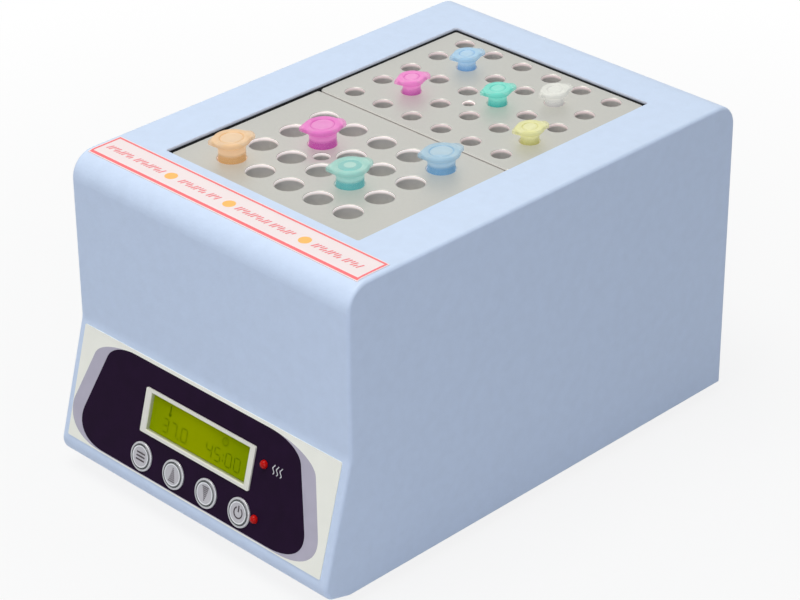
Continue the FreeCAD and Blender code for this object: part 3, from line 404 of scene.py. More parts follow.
def figure(digit, x, y):
    """Bars of one seven-bar figure, its lower left corner at x, y."""
    loops = []
    for name in lit_segments[digit]:
        fx, fy, flat = segments[name]
        size = ((digit_w - flat_gap, stroke) if flat
                else (stroke, digit_h / 2 - upright_gap))
        loops.append(rectangle(x + fx * digit_w, y + fy * digit_h, *size))
    return loops


marks = []
row_y = -display_drop - 5.1
for digit, x in zip("370" "4500", (-21.0, -16.4, -10.6, 3.2, 7.8, 13.8, 18.4)):
    marks += figure(digit, x, row_y)
point_x, colon_x, thermometer_x, point = -12.1, 12.3, -18.0, 0.6
marks.append(rectangle(point_x, row_y, point, point))
marks += [rectangle(colon_x, row_y + h, point, point) for h in (1.4, 3.6)]
marks.append(rectangle(thermometer_x, -display_drop + 4.3, 0.7, 3.0))
marks.append(circle(thermometer_x, -display_drop + 2.4, 0.8, 20))
clock_y = -display_drop + 3.8
marks += [circle(colon_x, clock_y, r, 32) for r in (1.7, 1.3)]
marks.append(rectangle(colon_x, clock_y + 0.5, 0.35, 1.1))
frame_proud, lens_drop, lens_t, lens_seat = 0.7, 0.5, 0.8, 0.2
glass_top = film_t / mm + frame_proud - lens_drop - lens_t - lens_seat
figures = film("display_figures", marks, glass_top + 0.002, glass_top + 0.03, panel, figure_ink)
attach(figures, "housing")

# Keys: satin silver caps with a shallow dish, each in a bright ring that is snapped into
# the panel. Inside each cap's edge lies a painted dark ring, painted shade in place of a
# groove, and inside that a pale ring, a painted highlight on the groove's brow. Their signs
# are pad printed: three lines, two arrows made of bars that shrink to a point, and a bar in
# a broken ring.
key_silver = Finish("key_silver", srgb(186, 184, 190), 0.4, Metallic=0.35)
key_silver.mottle(0.001, 0.03, 0.06)
key_silver.relief(key_silver.noise(0.00025), 0.000006)
key_silver.on("mode_key", "up_key", "down_key", "start_stop_key")
ring_bright = Finish("ring_bright", srgb(196, 196, 200), 0.3, Metallic=0.45)
ring_bright.mottle(0.0012, 0.03, 0.05)
ring_bright.on("key_rings")

sign_ink = Finish("sign_ink", srgb(62, 52, 60), 0.5)
sign_ink.mottle(0.0008, 0.08, 0.05)
sign_lift = 0.02 * mm
dish_low = 0.95                      # the dish's lowest point over the panel, in mm
dish_radius = 28.25


def tree_input(tree, name, kind, value):
    """The identifier of a new named input, by which a modifier sets it."""
    made = tree.interface.new_socket(name, in_out="INPUT", socket_type=kind)
    made.default_value = value
    return made.identifier


bars = bpy.data.node_groups.new("shrinking_bars", "GeometryNodeTree")
bars.interface.new_socket("Geometry", in_out="OUTPUT", socket_type="NodeSocketGeometry")
arrow_values = {"Bars": 8, "Longest": 3.5 * mm, "Shortest": 0.6 * mm, "Bar width": 0.36 * mm,
                "Step": 0.74 * mm, "Thickness": 0.05 * mm, "Ink": sign_ink.material}
bar_kinds = {"Bars": "NodeSocketInt", "Ink": "NodeSocketMaterial"}
bar_inputs = {name: tree_input(bars, name, bar_kinds.get(name, "NodeSocketFloat"), value)
              for name, value in arrow_values.items()}


def tree_node(tree, kind, settings, links):
    """Adds a node: its settings first, then the values or links of its sockets."""
    made = tree.nodes.new(kind)
    for name, setting in settings.items():
        setattr(made, name, setting)
    for socket, value in links.items():
        if isinstance(value, bpy.types.NodeSocket):
            tree.links.new(value, made.inputs[socket])
        else:
            made.inputs[socket].default_value = value
    return made


given = tree_node(bars, "NodeGroupInput", {}, {}).outputs
count_less_one = tree_node(bars, "ShaderNodeMath", {"operation": "SUBTRACT"},
                           {0: given["Bars"], 1: 1.0}).outputs[0]
index = tree_node(bars, "GeometryNodeInputIndex", {}, {}).outputs[0]
share = tree_node(bars, "ShaderNodeMath", {"operation": "DIVIDE"},
                  {0: index, 1: count_less_one}).outputs[0]
length = tree_node(bars, "ShaderNodeMapRange", {},
                   {0: share, 3: given["Longest"], 4: given["Shortest"]}).outputs[0]
spread = tree_node(bars, "ShaderNodeCombineXYZ", {}, {"Y": given["Step"]}).outputs[0]
row = tree_node(bars, "GeometryNodeMeshLine", {}, {"Count": given["Bars"], "Offset": spread})
brick = tree_node(bars, "GeometryNodeMeshCube", {}, {"Size": (1, 1, 1)})
size = tree_node(bars, "ShaderNodeCombineXYZ", {},
                 {0: length, 1: given["Bar width"], 2: given["Thickness"]}).outputs[0]
placed = tree_node(bars, "GeometryNodeInstanceOnPoints", {},
                   {"Points": row.outputs[0], "Instance": brick.outputs[0], "Scale": size})
solid = tree_node(bars, "GeometryNodeRealizeInstances", {}, {0: placed.outputs[0]})
inked = tree_node(bars, "GeometryNodeSetMaterial", {},
                  {"Geometry": solid.outputs[0], "Material": given["Ink"]})
tree_node(bars, "NodeGroupOutput", {}, {0: inked.outputs[0]})


def grown(name, tree, inputs, values):
    """A plain mesh from a Geometry Nodes tree with these values."""
    holder = bpy.data.objects.new(name + "_maker", bpy.data.meshes.new(name + "_maker"))
    bpy.context.collection.objects.link(holder)
    maker = holder.modifiers.new("maker", "NODES")
    maker.node_group = tree
    for key, value in values.items():
        maker[inputs[key]] = value
    bpy.context.view_layer.update()
    mesh = bpy.data.meshes.new_from_object(
        holder.evaluated_get(bpy.context.evaluated_depsgraph_get()))
    mesh.name = name
    bpy.data.objects.remove(holder)
    return mesh


def on_dish(mesh, x):
    """Lays a flat sign in the dish of the key at x."""
    for v in mesh.vertices:
        v.co.z += (dish_low + (v.co.x ** 2 + v.co.y ** 2) / mm / mm / 2 / dish_radius) * mm
    mesh.transform(panel @ Matrix.Translation((x * mm, -key_drop * mm, 0)))


line_values = dict(arrow_values, Bars=3, Longest=4.6 * mm, Shortest=4.6 * mm, Step=1.4 * mm)
line_values["Bar width"] = 0.6 * mm
for key, x, values, start, turn in (("up_key", key_xs[1], arrow_values, -2.6, 0),
                                    ("down_key", key_xs[2], arrow_values, -2.6, math.pi),
                                    ("mode_key", key_xs[0], line_values, -1.4, 0)):
    sign = grown(key + "_sign", bars, bar_inputs, values)
    sign.transform(Matrix.Rotation(turn, 4, "Z") @ Matrix.Translation((0, start * mm, sign_lift)))
    on_dish(sign, x)
    piece = link(key + "_sign", sign)
    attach(piece, key)
ring_r, ring_share = 2.4, 0.76       # outer radius, and the inner one's share of it
gap_end, sweep, parts = 120, 300, 40
ring_out = [(ring_r * math.cos(a), ring_r * math.sin(a))
            for a in (math.radians(gap_end + k * sweep / parts) for k in range(parts + 1))]
ring_in = [(x * ring_share, y * ring_share) for x, y in reversed(ring_out)]
sign = film("start_stop_key_sign", [ring_out + ring_in, rectangle(0, 1.5, 0.6, 2.6)],
            -0.01, 0.04, Matrix.Identity(4), sign_ink)
on_dish(sign.data, key_xs[3])
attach(sign, "start_stop_key")
# painted shade and painted highlight: a dark ring and a pale ring laid inside each cap's edge
edge_shade_ring = Finish("edge_shade_ring", srgb(74, 80, 80), 0.6)
edge_shade_ring.mottle(0.001, 0.08, 0.05)
edge_highlight_ring = Finish("edge_highlight_ring", srgb(226, 226, 230), 0.35)
edge_highlight_ring.mottle(0.001, 0.02, 0.05)
cap_top = 1.2
edge_rings = (("edge_shade_ring", 4.78, 4.3, edge_shade_ring), ("edge_highlight_ring", 4.28, 3.8, edge_highlight_ring))
for key, x in zip(("mode_key", "up_key", "down_key", "start_stop_key"), key_xs):
    for part, outer, inner, finish in edge_rings:
        piece = film(f"{key}_{part}", [circle(x, -key_drop, outer), circle(x, -key_drop, inner)],
                     cap_top + 0.003, cap_top + 0.03, panel, finish)
        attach(piece, key)

# Lamps: clear red domes on stems that stand on the board behind. Beside the upper one is a
# plain sign for heat, three rising waves, printed in pale grey.
lamp_red = Finish("lamp_red", srgb(180, 10, 5), 0.18, Specular_IOR_Level=0.12)
lamp_red.mottle(0.001, 0.05, 0.03)
lamp_red.on("indicator_lamps")
print_grey = Finish("print_grey", srgb(200, 200, 204), 0.4)
print_grey.mottle(0.001, 0.04, 0.04)
first_wave, wave_pitch, wave_h, wave_swing, half_line = 4.9, 1.9, 3.8, 0.45, 0.24
turns, steps = 1.25, 16
sign_low, sign_high = 0.34, 0.365
waves = []
for k in range(3):
    x0 = lamp_x + first_wave + k * wave_pitch
    wave = [(x0 + wave_swing * math.sin(t * 2 * math.pi / steps * turns),
             -lamp_drops[0] - wave_h / 2 + wave_h * t / steps) for t in range(steps + 1)]
    waves.append([(x - half_line, y) for x, y in wave]
                 + [(x + half_line, y) for x, y in reversed(wave)])
heat_sign = film("heat_sign", waves, sign_low, sign_high, panel, print_grey)
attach(heat_sign, "housing")

# Label strip: white film stuck in front of the opening, its front edge over the bend. It
# has a red printed border, groups of slanted red bars and round orange dots.
label_white = Finish("label_white", srgb(238, 224, 226), 0.45)
label_white.mottle(0.004, 0.01, 0.04)
label_white.relief(label_white.noise(0.0006), 0.00001)
label_white.on("top_label")
label_low, label_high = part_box("top_label")
cover_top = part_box("upper_housing")[1].z
bend_radius = 10.0 * mm
past_bend = 3.2 * mm                 # how far the strip reaches over the bend
bend_start = label_low.y + past_bend
bend_step = 0.8 * mm


def label_patch(mesh, x0, x1, y0, y1, low, high):
    """Thin slab on the label, bent with the cover where it passes the bend."""
    steps = max(1, math.ceil((y1 - y0) / bend_step))
    rows = []
    for k in range(steps + 1):
        y = y0 + (y1 - y0) * k / steps
        turn = max(0.0, (bend_start - y) / bend_radius)
        ring = []
        for x, lift in ((x0, low), (x1, low), (x1, high), (x0, high)):
            r = bend_radius + lift
            flat_y = bend_start - r * math.sin(turn) if turn else y
            ring.append(mesh.verts.new((x, flat_y, cover_top - bend_radius + r * math.cos(turn))))
        rows.append(ring)
    for a, b in zip(rows, rows[1:]):
        for k in range(4):
            mesh.faces.new((a[k], a[(k + 1) % 4], b[(k + 1) % 4], b[k]))
    mesh.faces.new(reversed(rows[0]))
    mesh.faces.new(rows[-1])


label_t = 0.25
border, edge = 0.9 * mm, 0.45 * mm
bx0, bx1 = label_low.x + edge, label_high.x - edge
by0, by1 = label_low.y + edge, label_high.y - edge
inner_y0, inner_y1 = by0 + border * 1.35, by1 - border
frame_lines = bmesh.new()
lift = ((label_t + 0.002) * mm, (label_t + 0.03) * mm)
for x0, x1, y0, y1 in ((bx0, bx1, by0, inner_y0), (bx0, bx1, inner_y1, by1),
                       (bx0, bx0 + border, inner_y0, inner_y1),
                       (bx1 - border, bx1, inner_y0, inner_y1)):
    label_patch(frame_lines, x0, x1, y0, y1, *lift)
bmesh.ops.recalc_face_normals(frame_lines, faces=frame_lines.faces)
border_mesh = bpy.data.meshes.new("label_border")
frame_lines.to_mesh(border_mesh)
label_red = Finish("label_red", srgb(240, 112, 118), 0.45)
bars_red = Finish("bars_red", srgb(232, 112, 120), 0.45)
dots_orange = Finish("dots_orange", srgb(250, 186, 96), 0.45)
for ink in (label_red, bars_red, dots_orange):
    ink.mottle(0.002, 0.03, 0.04)
border_piece = link("label_border", border_mesh, label_red)
label_place = Matrix.Translation((0, (label_low.y + label_high.y) / 2, cover_top))
bar_pitch, bar_w, bar_slant, group_gap = 1.4, 0.72, 0.35, 1.3
bar_ends = ((-1.9, 1.1), (-1.9, 1.1), (-0.6, 1.1), (-1.9, 1.1), (-1.9, -0.2))
slanted_bars = []
for x, counts in ((-67.5, (10, 11)), (-27.5, (10, 4)), (3.0, (12, 8)), (42.5, (10, 6))):
    for count in counts:
        for k in range(count):
            low, high = bar_ends[k % len(bar_ends)]
            slanted_bars.append([(x + low * bar_slant, low), (x + bar_w + low * bar_slant, low),
                                 (x + bar_w + high * bar_slant, high),
                                 (x + high * bar_slant, high)])
            x += bar_pitch
        x += group_gap
dot_xs, dot_y, dot_r = (-33.1, -1.7, 37.6), -0.4, 2.5
flat_lift = (label_t + 0.002, label_t + 0.03)
bars_piece = film("label_bars", slanted_bars, *flat_lift, label_place, bars_red)
dots_piece = film("label_dots", [circle(x, dot_y, dot_r, 40) for x in dot_xs],
                  *flat_lift, label_place, dots_orange)
for piece in (border_piece, bars_piece, dots_piece):
    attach(piece, "housing")

# Collar: a matt black rubber frame between the heated tray and the cover's opening, which
# shows as a dark line round the blocks. Over it, a thin greyer strip that glows lines the
# cover's cut edge: painted light that keeps the shaded edge pale.
collar_black = Finish("collar_black", srgb(34, 36, 40), 0.75)
collar_black.mottle(0.004, 0.1, 0.08)
collar_black.relief(collar_black.noise(0.0005), 0.00003)
collar_black.on("well_collar")


def rounded_rectangle(width, depth, radius, steps=6):
    """Outline with round corners about the middle, in mm."""
    points = []
    for corner, (sx, sy) in enumerate(((1, 1), (-1, 1), (-1, -1), (1, -1))):
        for k in range(steps + 1):
            turn = math.pi / 2 * (corner + k / steps)
            points.append((sx * (width / 2 - radius) + radius * math.cos(turn),
                           sy * (depth / 2 - radius) + radius * math.sin(turn)))
    return points


tucked = 4.0                         # the collar's reach under the cover, in mm
collar_low, collar_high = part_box("well_collar")
open_w, open_d = ((collar_high[i] - collar_low[i]) / mm - 2 * tucked for i in (0, 1))
# painted light: a glowing strip on the cover's cut edge, paler than the shade there
lit_edge_glow = Finish("lit_edge_glow", srgb(176, 182, 196), 0.5, Emission_Strength=0.3)
lit_edge_glow.feed("Emission Color", lit_edge_glow.mottle(0.002, 0.04, 0.05))
lit_edge_out, lit_edge_in, lit_edge_low, lit_edge_high = 0.02, 0.14, -1.15, -0.04
lit_edge_piece = film("opening_lit_edge", [rounded_rectangle(open_w - lit_edge_out, open_d - lit_edge_out, 1.0),
                             rounded_rectangle(open_w - lit_edge_in, open_d - lit_edge_in, 0.95)],
            lit_edge_low, lit_edge_high,
            Matrix.Translation((0, (collar_low.y + collar_high.y) / 2, cover_top)), lit_edge_glow)
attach(lit_edge_piece, "housing")

# Blocks: milled aluminium with a fine blasted and clear anodised skin. The wells are
# reamed, with faint turned rings. Just under the rim their walls carry a pinkish painted
# highlight that glows, lower down they are painted paler to lift the shade in the wells, and a
# faint painted glow lies along the seam between the blocks.
rim_depth = (0.24, 0.32)             # where the chamfer ends and the wall starts, in mm
block_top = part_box("small_well_block")[1].z
seam = (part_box("small_well_block")[0].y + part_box("large_well_block")[1].y) / 2
# glow and rim: strength and colour of the painted highlight under the wells' rims
for block, glow, rim in (("small_well_block", 0.32, srgb(250, 230, 229)),
                         ("large_well_block", 0.5, srgb(255, 243, 241))):
    skin = Finish(block + "_skin", srgb(192, 191, 186), 0.42, Metallic=0.35,
                  Emission_Strength=glow)
    drift = skin.mottle(0.0006, 0.02, 0.05, 3.0)
    depth = (block_top - skin.axis("Z")) * (1 / mm)
    from_seam = skin.size_of(skin.axis("Y") - seam)
    low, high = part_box(block)
    in_well = skin.ramp(depth, *rim_depth)
    for axis, middle, half in (("X", (low.x + high.x) / 2, (high.x - low.x) / 2),
                               ("Y", (low.y + high.y) / 2, (high.y - low.y) / 2)):
        aside = skin.size_of(skin.axis(axis) - middle)
        in_well = in_well * skin.ramp(aside, half - 1.2 * mm, half - 0.8 * mm, 1.0, 0.0)
    # painted highlight: a glowing pinkish band on the well walls just under the rim
    rim_highlight = in_well * skin.ramp(depth, 0.45, 1.75, 1.0, 0.0)
    # painted light: the well walls turn paler the deeper they go
    well_wall_light = skin.mix(skin.ramp(depth, 1.5, 7.0), srgb(192, 190, 188), srgb(244, 242, 239))
    walls = skin.mix(in_well, drift, well_wall_light)
    # painted light: a faint glow along the seam between the blocks
    seam_glow = skin.ramp(depth, *rim_depth) * skin.ramp(from_seam, 1.0 * mm, 1.6 * mm, 0.22, 0.0)
    skin.feed("Base Color", skin.mix(rim_highlight, walls, rim))
    skin.feed("Metallic", in_well * -0.35 + 0.35)
    skin.feed("Emission Color", skin.mix(rim_highlight + seam_glow, (0, 0, 0, 1), rim))
    rings = skin.node("ShaderNodeTexWave", {"bands_direction": "Z"},
                      {"Vector": skin.at(), "Scale": 700.0, "Distortion": 1.5})
    skin.relief(skin.noise(0.0003, 2.0) + rings * 0.15, 0.00001)
    skin.on(block)

# Tubes: thin translucent polypropylene with a milky tint, moulded with a flat cap. The cap
# has a blunt thumb lip, a round hinge ear on the other side and a pressed ring, over a
# flange on the tube. Coloured water stands a little above the block's top.
around = 96                          # points round a ring
blunting, ear_share, ear_width = 0.35, 0.9, 0.34
cap_tilt = 0.25                      # mm, up at the hinge


def flared(radius, reach, turn, ear):
    """Outline of a cap: a disc drawn out to a blunt lip on one side, with an ear on another."""
    side = math.acos(radius / (radius + reach))
    blunt = radius + reach - blunting

    def at(angle):
        off = abs((angle - turn + math.pi) % (2 * math.pi) - math.pi)
        r = radius
        if off < side:
            r = min(radius / math.cos(side - off), blunt)
        off = abs((angle - ear + math.pi) % (2 * math.pi) - math.pi)
        return r + reach * ear_share / (1 + (off / ear_width) ** 6)
    return at


def sloping(level, rise, turn):
    """Height that rises by that much toward the thumb lip, or falls if it is negative."""
    return lambda angle: level + rise * math.cos(angle - turn)


def skin_of(name, rings, centre, finish):
    """Closed skin through rings of radius and height, both ends drawn to a point. In mm."""
    shape = bmesh.new()
    loops = []
    for radius, height in rings:
        loop = []
        for k in range(around):
            angle = 2 * math.pi * k / around
            r = radius(angle) if callable(radius) else radius
            h = height(angle) if callable(height) else height
            loop.append(shape.verts.new((centre.x + r * math.cos(angle) * mm,
                                         centre.y + r * math.sin(angle) * mm,
                                         centre.z + h * mm)))
        loops.append(loop)
    for a, b in zip(loops, loops[1:]):
        for k in range(around):
            shape.faces.new((a[k], a[(k + 1) % around], b[(k + 1) % around], b[k]))
    for loop, flip in ((loops[0], True), (loops[-1], False)):
        height = sum(v.co.z for v in loop) / around
        tip = shape.verts.new((centre.x, centre.y, height))
        for k in range(around):
            pair = (loop[(k + 1) % around], loop[k]) if flip else (loop[k], loop[(k + 1) % around])
            shape.faces.new((tip,) + pair)
    mesh = bpy.data.meshes.new(name)
    for face in shape.faces:
        face.smooth = True
    shape.to_mesh(mesh)
    shape.free()
    return link(name, mesh, finish)


def tube_skin(name, centre, turn, ear, stand, r, straight, cone, tip, cap_r, cap_t, reach,
              flange, ring, finish):
    """The moulding, from its tip up the wall and the flange to the cap's ring. In mm."""
    rim = stand - cap_t
    low = rim - flange
    lip = flared(cap_r, reach, turn, ear)
    under = flared(cap_r * 0.93, reach * 0.6, turn, ear)

    def tilted(level):
        return sloping(level, -cap_tilt, turn)

    rings = [
        (tip * 0.5, -straight - cone), (tip, -straight - cone + 0.3), (r, -straight),
        (r, -2.5), (r + 0.19, -0.8), (r + 0.19, 0.1), (r + 0.1, 0.7), (r, 1.6),
        (r, low - 0.7), (r + 0.1, sloping(low - 0.4, -0.1, turn)),
        (r + 0.6, sloping(low - 0.05, -0.25, turn)), (r + 0.9, sloping(low + 0.12, -0.3, turn)),
        (r + 0.98, sloping(low + 0.4, -0.3, turn)),
        (r + 0.9, tilted(rim - 0.5)), (lambda a: under(a) - 0.5, tilted(rim - 0.42)),
        (lambda a: under(a) - 0.1, tilted(rim - 0.34)), (under, tilted(rim - 0.22)),
        (lambda a: under(a) - 0.3, tilted(rim - 0.1)), (cap_r * 0.9, tilted(rim - 0.02)),
        (lambda a: lip(a) - 0.35, tilted(rim + 0.05)),
        (lambda a: lip(a) - 0.06, tilted(rim + 0.13)), (lip, tilted(rim + 0.25)),
        (lip, tilted(rim + cap_t * 0.74)), (lambda a: lip(a) - 0.1, tilted(rim + cap_t * 0.86)),
        (lambda a: min(lip(a) - 0.25, cap_r + 0.9), tilted(rim + cap_t * 0.91)),
        (cap_r * 0.97, tilted(rim + cap_t * 0.95)), (cap_r * 0.92, tilted(stand - 0.02)),
        (ring + 0.5, tilted(stand - 0.02)), (ring + 0.3, tilted(stand - 0.1)),
        (ring + 0.1, tilted(stand - 0.4)), (ring - 0.2, tilted(stand - 0.4)),
        (ring - 0.45, tilted(stand - 0.16)), (ring - 0.7, tilted(stand - 0.06)),
        (ring * 0.35, stand - 0.03),
    ]
    return skin_of(name, rings, centre, finish)


def tube_water(name, centre, r, straight, cone, tip, level, finish):
    """The water, up to its level, with a surface that dips in the middle. In mm."""
    inside = r - 0.15
    rings = [
        (tip * 0.3, -straight - cone + 1.2), (tip - 0.6, -straight - cone + 1.5),
        (r - 0.8, -straight + 0.1), (inside, -2.5), (inside + 0.15, -0.8), (inside + 0.15, 0.1),
        (inside, 1.6), (inside, level - 0.2), (inside - 0.05, level),
        (inside - 0.2, level + 0.02), (inside - 0.6, level - 0.3), (inside * 0.4, level - 0.5),
    ]
    return skin_of(name, rings, centre, finish)


def part_of(colour, share):
    """A darker colour, for a surface that also has a painted glow."""
    return tuple(c * share for c in colour[:3]) + (1.0,)


plastic_share, water_share, shade_line_share, faded_share = 0.72, 0.54, 0.7, 0.7
ring_shade, gap_shade, low_shade = 0.45, 0.4, 0.35
top_lean = 0.045                     # fall of the cap's rings per mm toward the lip


def tube_plastic(name, tint, water, centre, turn, stand, level, cap_r, cap_t, flange, ring,
                 ring_width):
    """Milky plastic with a painted glow in its own colours, denser in the cap. Painted shade
    darkens the pressed ring, the gap under the cap and a line under the flange."""
    plastic = Finish(name + "_plastic", part_of(srgb(*tint), plastic_share), 0.3,
                     Specular_IOR_Level=0.25, Emission_Strength=0.4)
    drift = plastic.mottle(0.003, 0.03, 0.05)
    place = plastic.node("ShaderNodeVectorMath", {"operation": "SUBTRACT"},
                         {0: plastic.at(), 1: centre})
    flat = plastic.node("ShaderNodeVectorMath", {"operation": "MULTIPLY"},
                        {0: place, 1: (1 / mm, 1 / mm, 0)})
    away = plastic.node("ShaderNodeVectorMath", {"operation": "LENGTH"}, {0: flat}, "Value")
    tilt = (math.cos(turn) * top_lean / mm, math.sin(turn) * top_lean / mm, 1 / mm)
    height = plastic.node("ShaderNodeVectorMath", {"operation": "DOT_PRODUCT"},
                          {0: place, 1: tilt}, "Value")
    rim = stand - cap_t
    off_ring = plastic.size_of(away - ring)
    on_ring = (plastic.ramp(off_ring, ring_width, ring_width + 0.3, 1.0, 0.0)
               * plastic.ramp(height, stand - 0.8, stand - 0.5))
    off_gap = plastic.size_of(height - rim + 0.1)
    on_gap = plastic.ramp(off_gap, 0.1, 0.35, 1.0, 0.0)
    off_low = plastic.size_of(height - (rim - flange - 0.2))
    on_low = plastic.ramp(off_low, 0.05, 0.3, 1.0, 0.0)
    # painted shade: dark lines at the pressed ring, the gap under the cap and under the flange
    lines = on_ring * ring_shade + on_gap * gap_shade + on_low * low_shade
    pale = part_of(srgb(*(c * 0.6 + 92 for c in tint)), plastic_share)
    middle = plastic.ramp(away, ring - 1.0, ring, 0.35, 0.0) * plastic.ramp(height, rim, stand)
    neck = plastic.ramp(height, rim - flange - 0.5, rim - flange, 0.5, 0.0)
    shade = plastic.mix(middle + neck, drift, pale)
    shade = plastic.mix(lines, shade, part_of(srgb(*water), shade_line_share))
    plastic.feed("Base Color", shade)
    # painted glow: the plastic emits its own colour
    plastic.feed("Emission Color", shade)
    dense = plastic.ramp(height, level - 1.2, level + 0.3, 0.25, 0.62)
    dense = dense + plastic.ramp(height, rim - flange - 0.3, rim - flange + 0.3, 0.0, 0.14)
    plastic.feed("Alpha", dense * plastic.ramp(away, cap_r, cap_r + 0.8, 1.0, 0.6))
    return plastic


# tube radius, straight length, cone, tip radius; cap radius, cap, lip, flange, pressed ring
small_size = ((3.6, 12.0, 11.7, 1.5), (5.35, 1.75, 2.3, 0.9, 2.95))
large_size = ((5.25, 14.2, 17.2, 1.8), (7.1, 1.75, 2.1, 0.9, 4.5))
# slot, side of the lip and of the ear in degrees, height over the block, tint, water colour
tube_looks = {
    "small_tube_blue": ("tube_blue", 246, 66, 6.1, (172, 206, 230), (88, 148, 206)),
    "small_tube_clear": ("tube_clear", 257, 72, 5.8, (226, 226, 220), (196, 194, 194)),
    "small_tube_green": ("tube_green", 247, 66, 6.4, (128, 224, 208), (24, 168, 162)),
    "small_tube_pink": ("tube_pink", 250, 66, 6.3, (240, 142, 208), (186, 64, 162)),
    "small_tube_yellow": ("tube_yellow", 247, 68, 6.05, (228, 226, 170), (184, 180, 92)),
    "large_tube_blue": ("tube_light_blue", 235, 78, 7.2, (172, 200, 216), (80, 150, 200)),
    "large_tube_magenta": ("tube_magenta", 235.5, 64, 7.85, (234, 132, 204), (184, 50, 158)),
    "large_tube_teal": ("tube_teal", 232, 74, 7.5, (168, 212, 202), (46, 168, 174)),
    "large_tube_orange": ("tube_orange", 240, 70, 8.3, (234, 200, 160), (212, 156, 82)),
}
for name, (slot, lip_side, ear_side, stand, tint, water) in tube_looks.items():
    small = name.startswith("small")
    barrel, head = small_size if small else large_size
    cap_r, cap_t, reach, flange, ring = head
    low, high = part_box(name)
    centre = Vector(((low.x + high.x) / 2, (low.y + high.y) / 2, block_top))
    turn, ear = math.radians(lip_side), math.radians(ear_side)
    # the teal cap's pressed ring gets a broad band of painted shade
    shaded_ring, ring_width = (3.3, 0.9) if slot == "tube_teal" else (ring, 0.12)
    # the water's surface over the block, and where it starts to turn pale
    level, fade = (2.6, 0.4) if small else (3.2, 2.0)
    plastic = tube_plastic(name, tint, water, centre, turn, stand, level, cap_r, cap_t, flange,
                           shaded_ring, ring_width)
    deep = part_of(srgb(*water), water_share)
    # painted glow: the water emits its own colours
    dye = Finish(name + "_water", deep, 0.15, IOR=1.33, Emission_Strength=0.7)
    faded = tuple((a + b) / 2 for a, b in zip(part_of(srgb(*tint), faded_share), deep))
    height = (dye.axis("Z") - block_top) * (1 / mm)
    depth_tone = dye.mix(dye.ramp(height, fade, level), dye.mottle(0.004, 0.04, 0.03), faded)
    dye.feed("Base Color", depth_tone)
    dye.feed("Emission Color", depth_tone)
    shell = tube_skin(name + "_moulding", centre, turn, ear, stand, *barrel, *head, plastic)
    drink = tube_water(name + "_filling", centre, *barrel, level, dye)
    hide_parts(name)
    for piece in (shell, drink):
        piece.visible_shadow = False  # thin milky plastic lets the light through
        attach(piece, name)

# Heated tray: cast and milled aluminium under the blocks, on four turned posts, with a
# red silicone heater pad held against its floor by a sheared plate.
tray_metal = Finish("tray_metal", srgb(196, 196, 196), 0.45, Metallic=0.9)
tray_metal.mottle(0.002, 0.05, 0.08, 4.0, (1, 8, 1))
tray_metal.relief(tray_metal.noise(0.0008, 2.0, (1, 12, 1)), 0.00001)
tray_metal.on("heating_tray")
sheet_metal = Finish("sheet_metal", srgb(202, 202, 202), 0.38, Metallic=0.9)
sheet_metal.mottle(0.003, 0.05, 0.08, 4.0, (6, 1, 1))
sheet_metal.relief(sheet_metal.noise(0.0006, 2.0, (10, 1, 1)), 0.000008)
sheet_metal.on("clamp_plate", "tray_posts", "heat_sink")
silicone_red = Finish("silicone_red", srgb(176, 70, 48), 0.7)
silicone_red.mottle(0.003, 0.06, 0.06)
weave = silicone_red.node("ShaderNodeTexWave", {"bands_direction": "X"},
                          {"Vector": silicone_red.at(), "Scale": 320.0})
silicone_red.relief(weave, 0.00004)
silicone_red.on("heater_pad")

# Insulation: a pressed felt of pale mineral fibre round the tray.
felt = Finish("felt", srgb(214, 209, 196), 0.95, Sheen_Weight=0.3)
felt.mottle(0.0015, 0.1, 0.04, 6.0)
felt.relief(felt.noise(0.0008, 6.0, (1, 1, 3)), 0.0004)
felt.on("insulation_jacket")

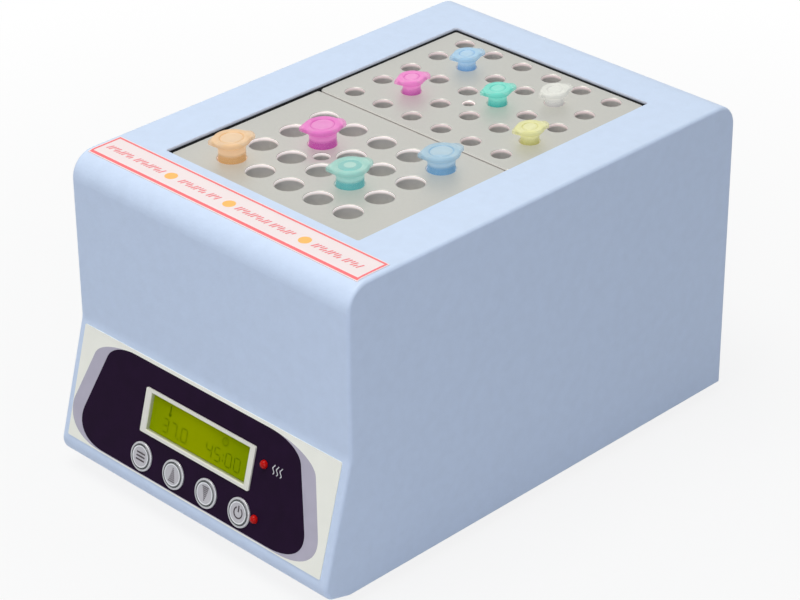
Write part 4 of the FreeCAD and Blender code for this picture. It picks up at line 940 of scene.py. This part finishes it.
# Circuit boards: green lacquer over the copper tracks, matt black moulded parts on them,
# plated brass pillars and blades.
lacquer = Finish("lacquer", srgb(24, 96, 54), 0.35, Coat_Weight=0.3)
tracks = lacquer.node("ShaderNodeTexBrick", {}, {
    "Vector": lacquer.at(), "Color1": srgb(24, 96, 54), "Color2": srgb(30, 108, 60),
    "Mortar": srgb(64, 140, 78), "Scale": 95.0, "Mortar Size": 0.03}, "Color")
lacquer.feed("Base Color", tracks)
lacquer.relief(lacquer.noise(0.001), 0.00002)
lacquer.on("control_board", "power_board")
moulding_black = Finish("moulding_black", srgb(52, 52, 55), 0.5)
moulding_black.mottle(0.002, 0.12, 0.08)
moulding_black.relief(moulding_black.noise(0.0003), 0.00002)
moulding_black.on("board_chips", "key_switches", "power_components", "switching_device",
                  "thermal_cutout", "power_inlet", "switch_frame")
plated = Finish("plated", srgb(214, 200, 160), 0.28, Metallic=1.0)
plated.mottle(0.001, 0.06, 0.06)
plated.on("board_pillars", "power_standoffs", "inlet_blades", "switch_terminals")

# Transformer: stacked laminations, and a lacquered copper winding.
laminations = Finish("laminations", srgb(120, 122, 126), 0.45, Metallic=0.8)
laminations.mottle(0.002, 0.08, 0.08)
stack = laminations.node("ShaderNodeTexWave", {"bands_direction": "Y"},
                         {"Vector": laminations.at(), "Scale": 320.0})
laminations.relief(stack, 0.00012)
laminations.on("transformer_core")
winding = Finish("winding", srgb(206, 128, 78), 0.3, Metallic=0.85, Coat_Weight=0.4)
winding.mottle(0.001, 0.1, 0.05, 3.0, (1, 1, 4))
wires = winding.node("ShaderNodeTexWave", {"bands_direction": "Z"},
                     {"Vector": winding.at(), "Scale": 280.0, "Distortion": 0.3})
winding.relief(wires, 0.0002)
winding.on("transformer_coil")

# Rocker: gloss black plastic, tipping on two stubs in the frame. Both halves are left
# bare.
rocker_gloss = Finish("rocker_gloss", srgb(40, 40, 43), 0.2, Coat_Weight=0.3)
rocker_gloss.mottle(0.002, 0.1, 0.05)
rocker_gloss.relief(rocker_gloss.noise(0.0008), 0.00001)
rocker_gloss.on("power_rocker")

# Fasteners and sensor: zinc plated steel, with faint turning marks.
zinc = Finish("zinc", srgb(196, 198, 204), 0.3, Metallic=1.0)
zinc.mottle(0.0008, 0.08, 0.1)
zinc.relief(zinc.noise(0.0003), 0.00001)
zinc.on("chassis_screws", "foot_screws", "tray_screws", "clamp_screws", "board_screws",
        "inlet_screws", "inlet_nuts", "temperature_sensor")

# Feet: moulded black rubber, matt, with a bloom of dust.
rubber = Finish("rubber", srgb(46, 46, 48), 0.85)
rubber.mottle(0.002, 0.2, 0.08)
rubber.relief(rubber.noise(0.0005), 0.00004)
rubber.on("rubber_feet")
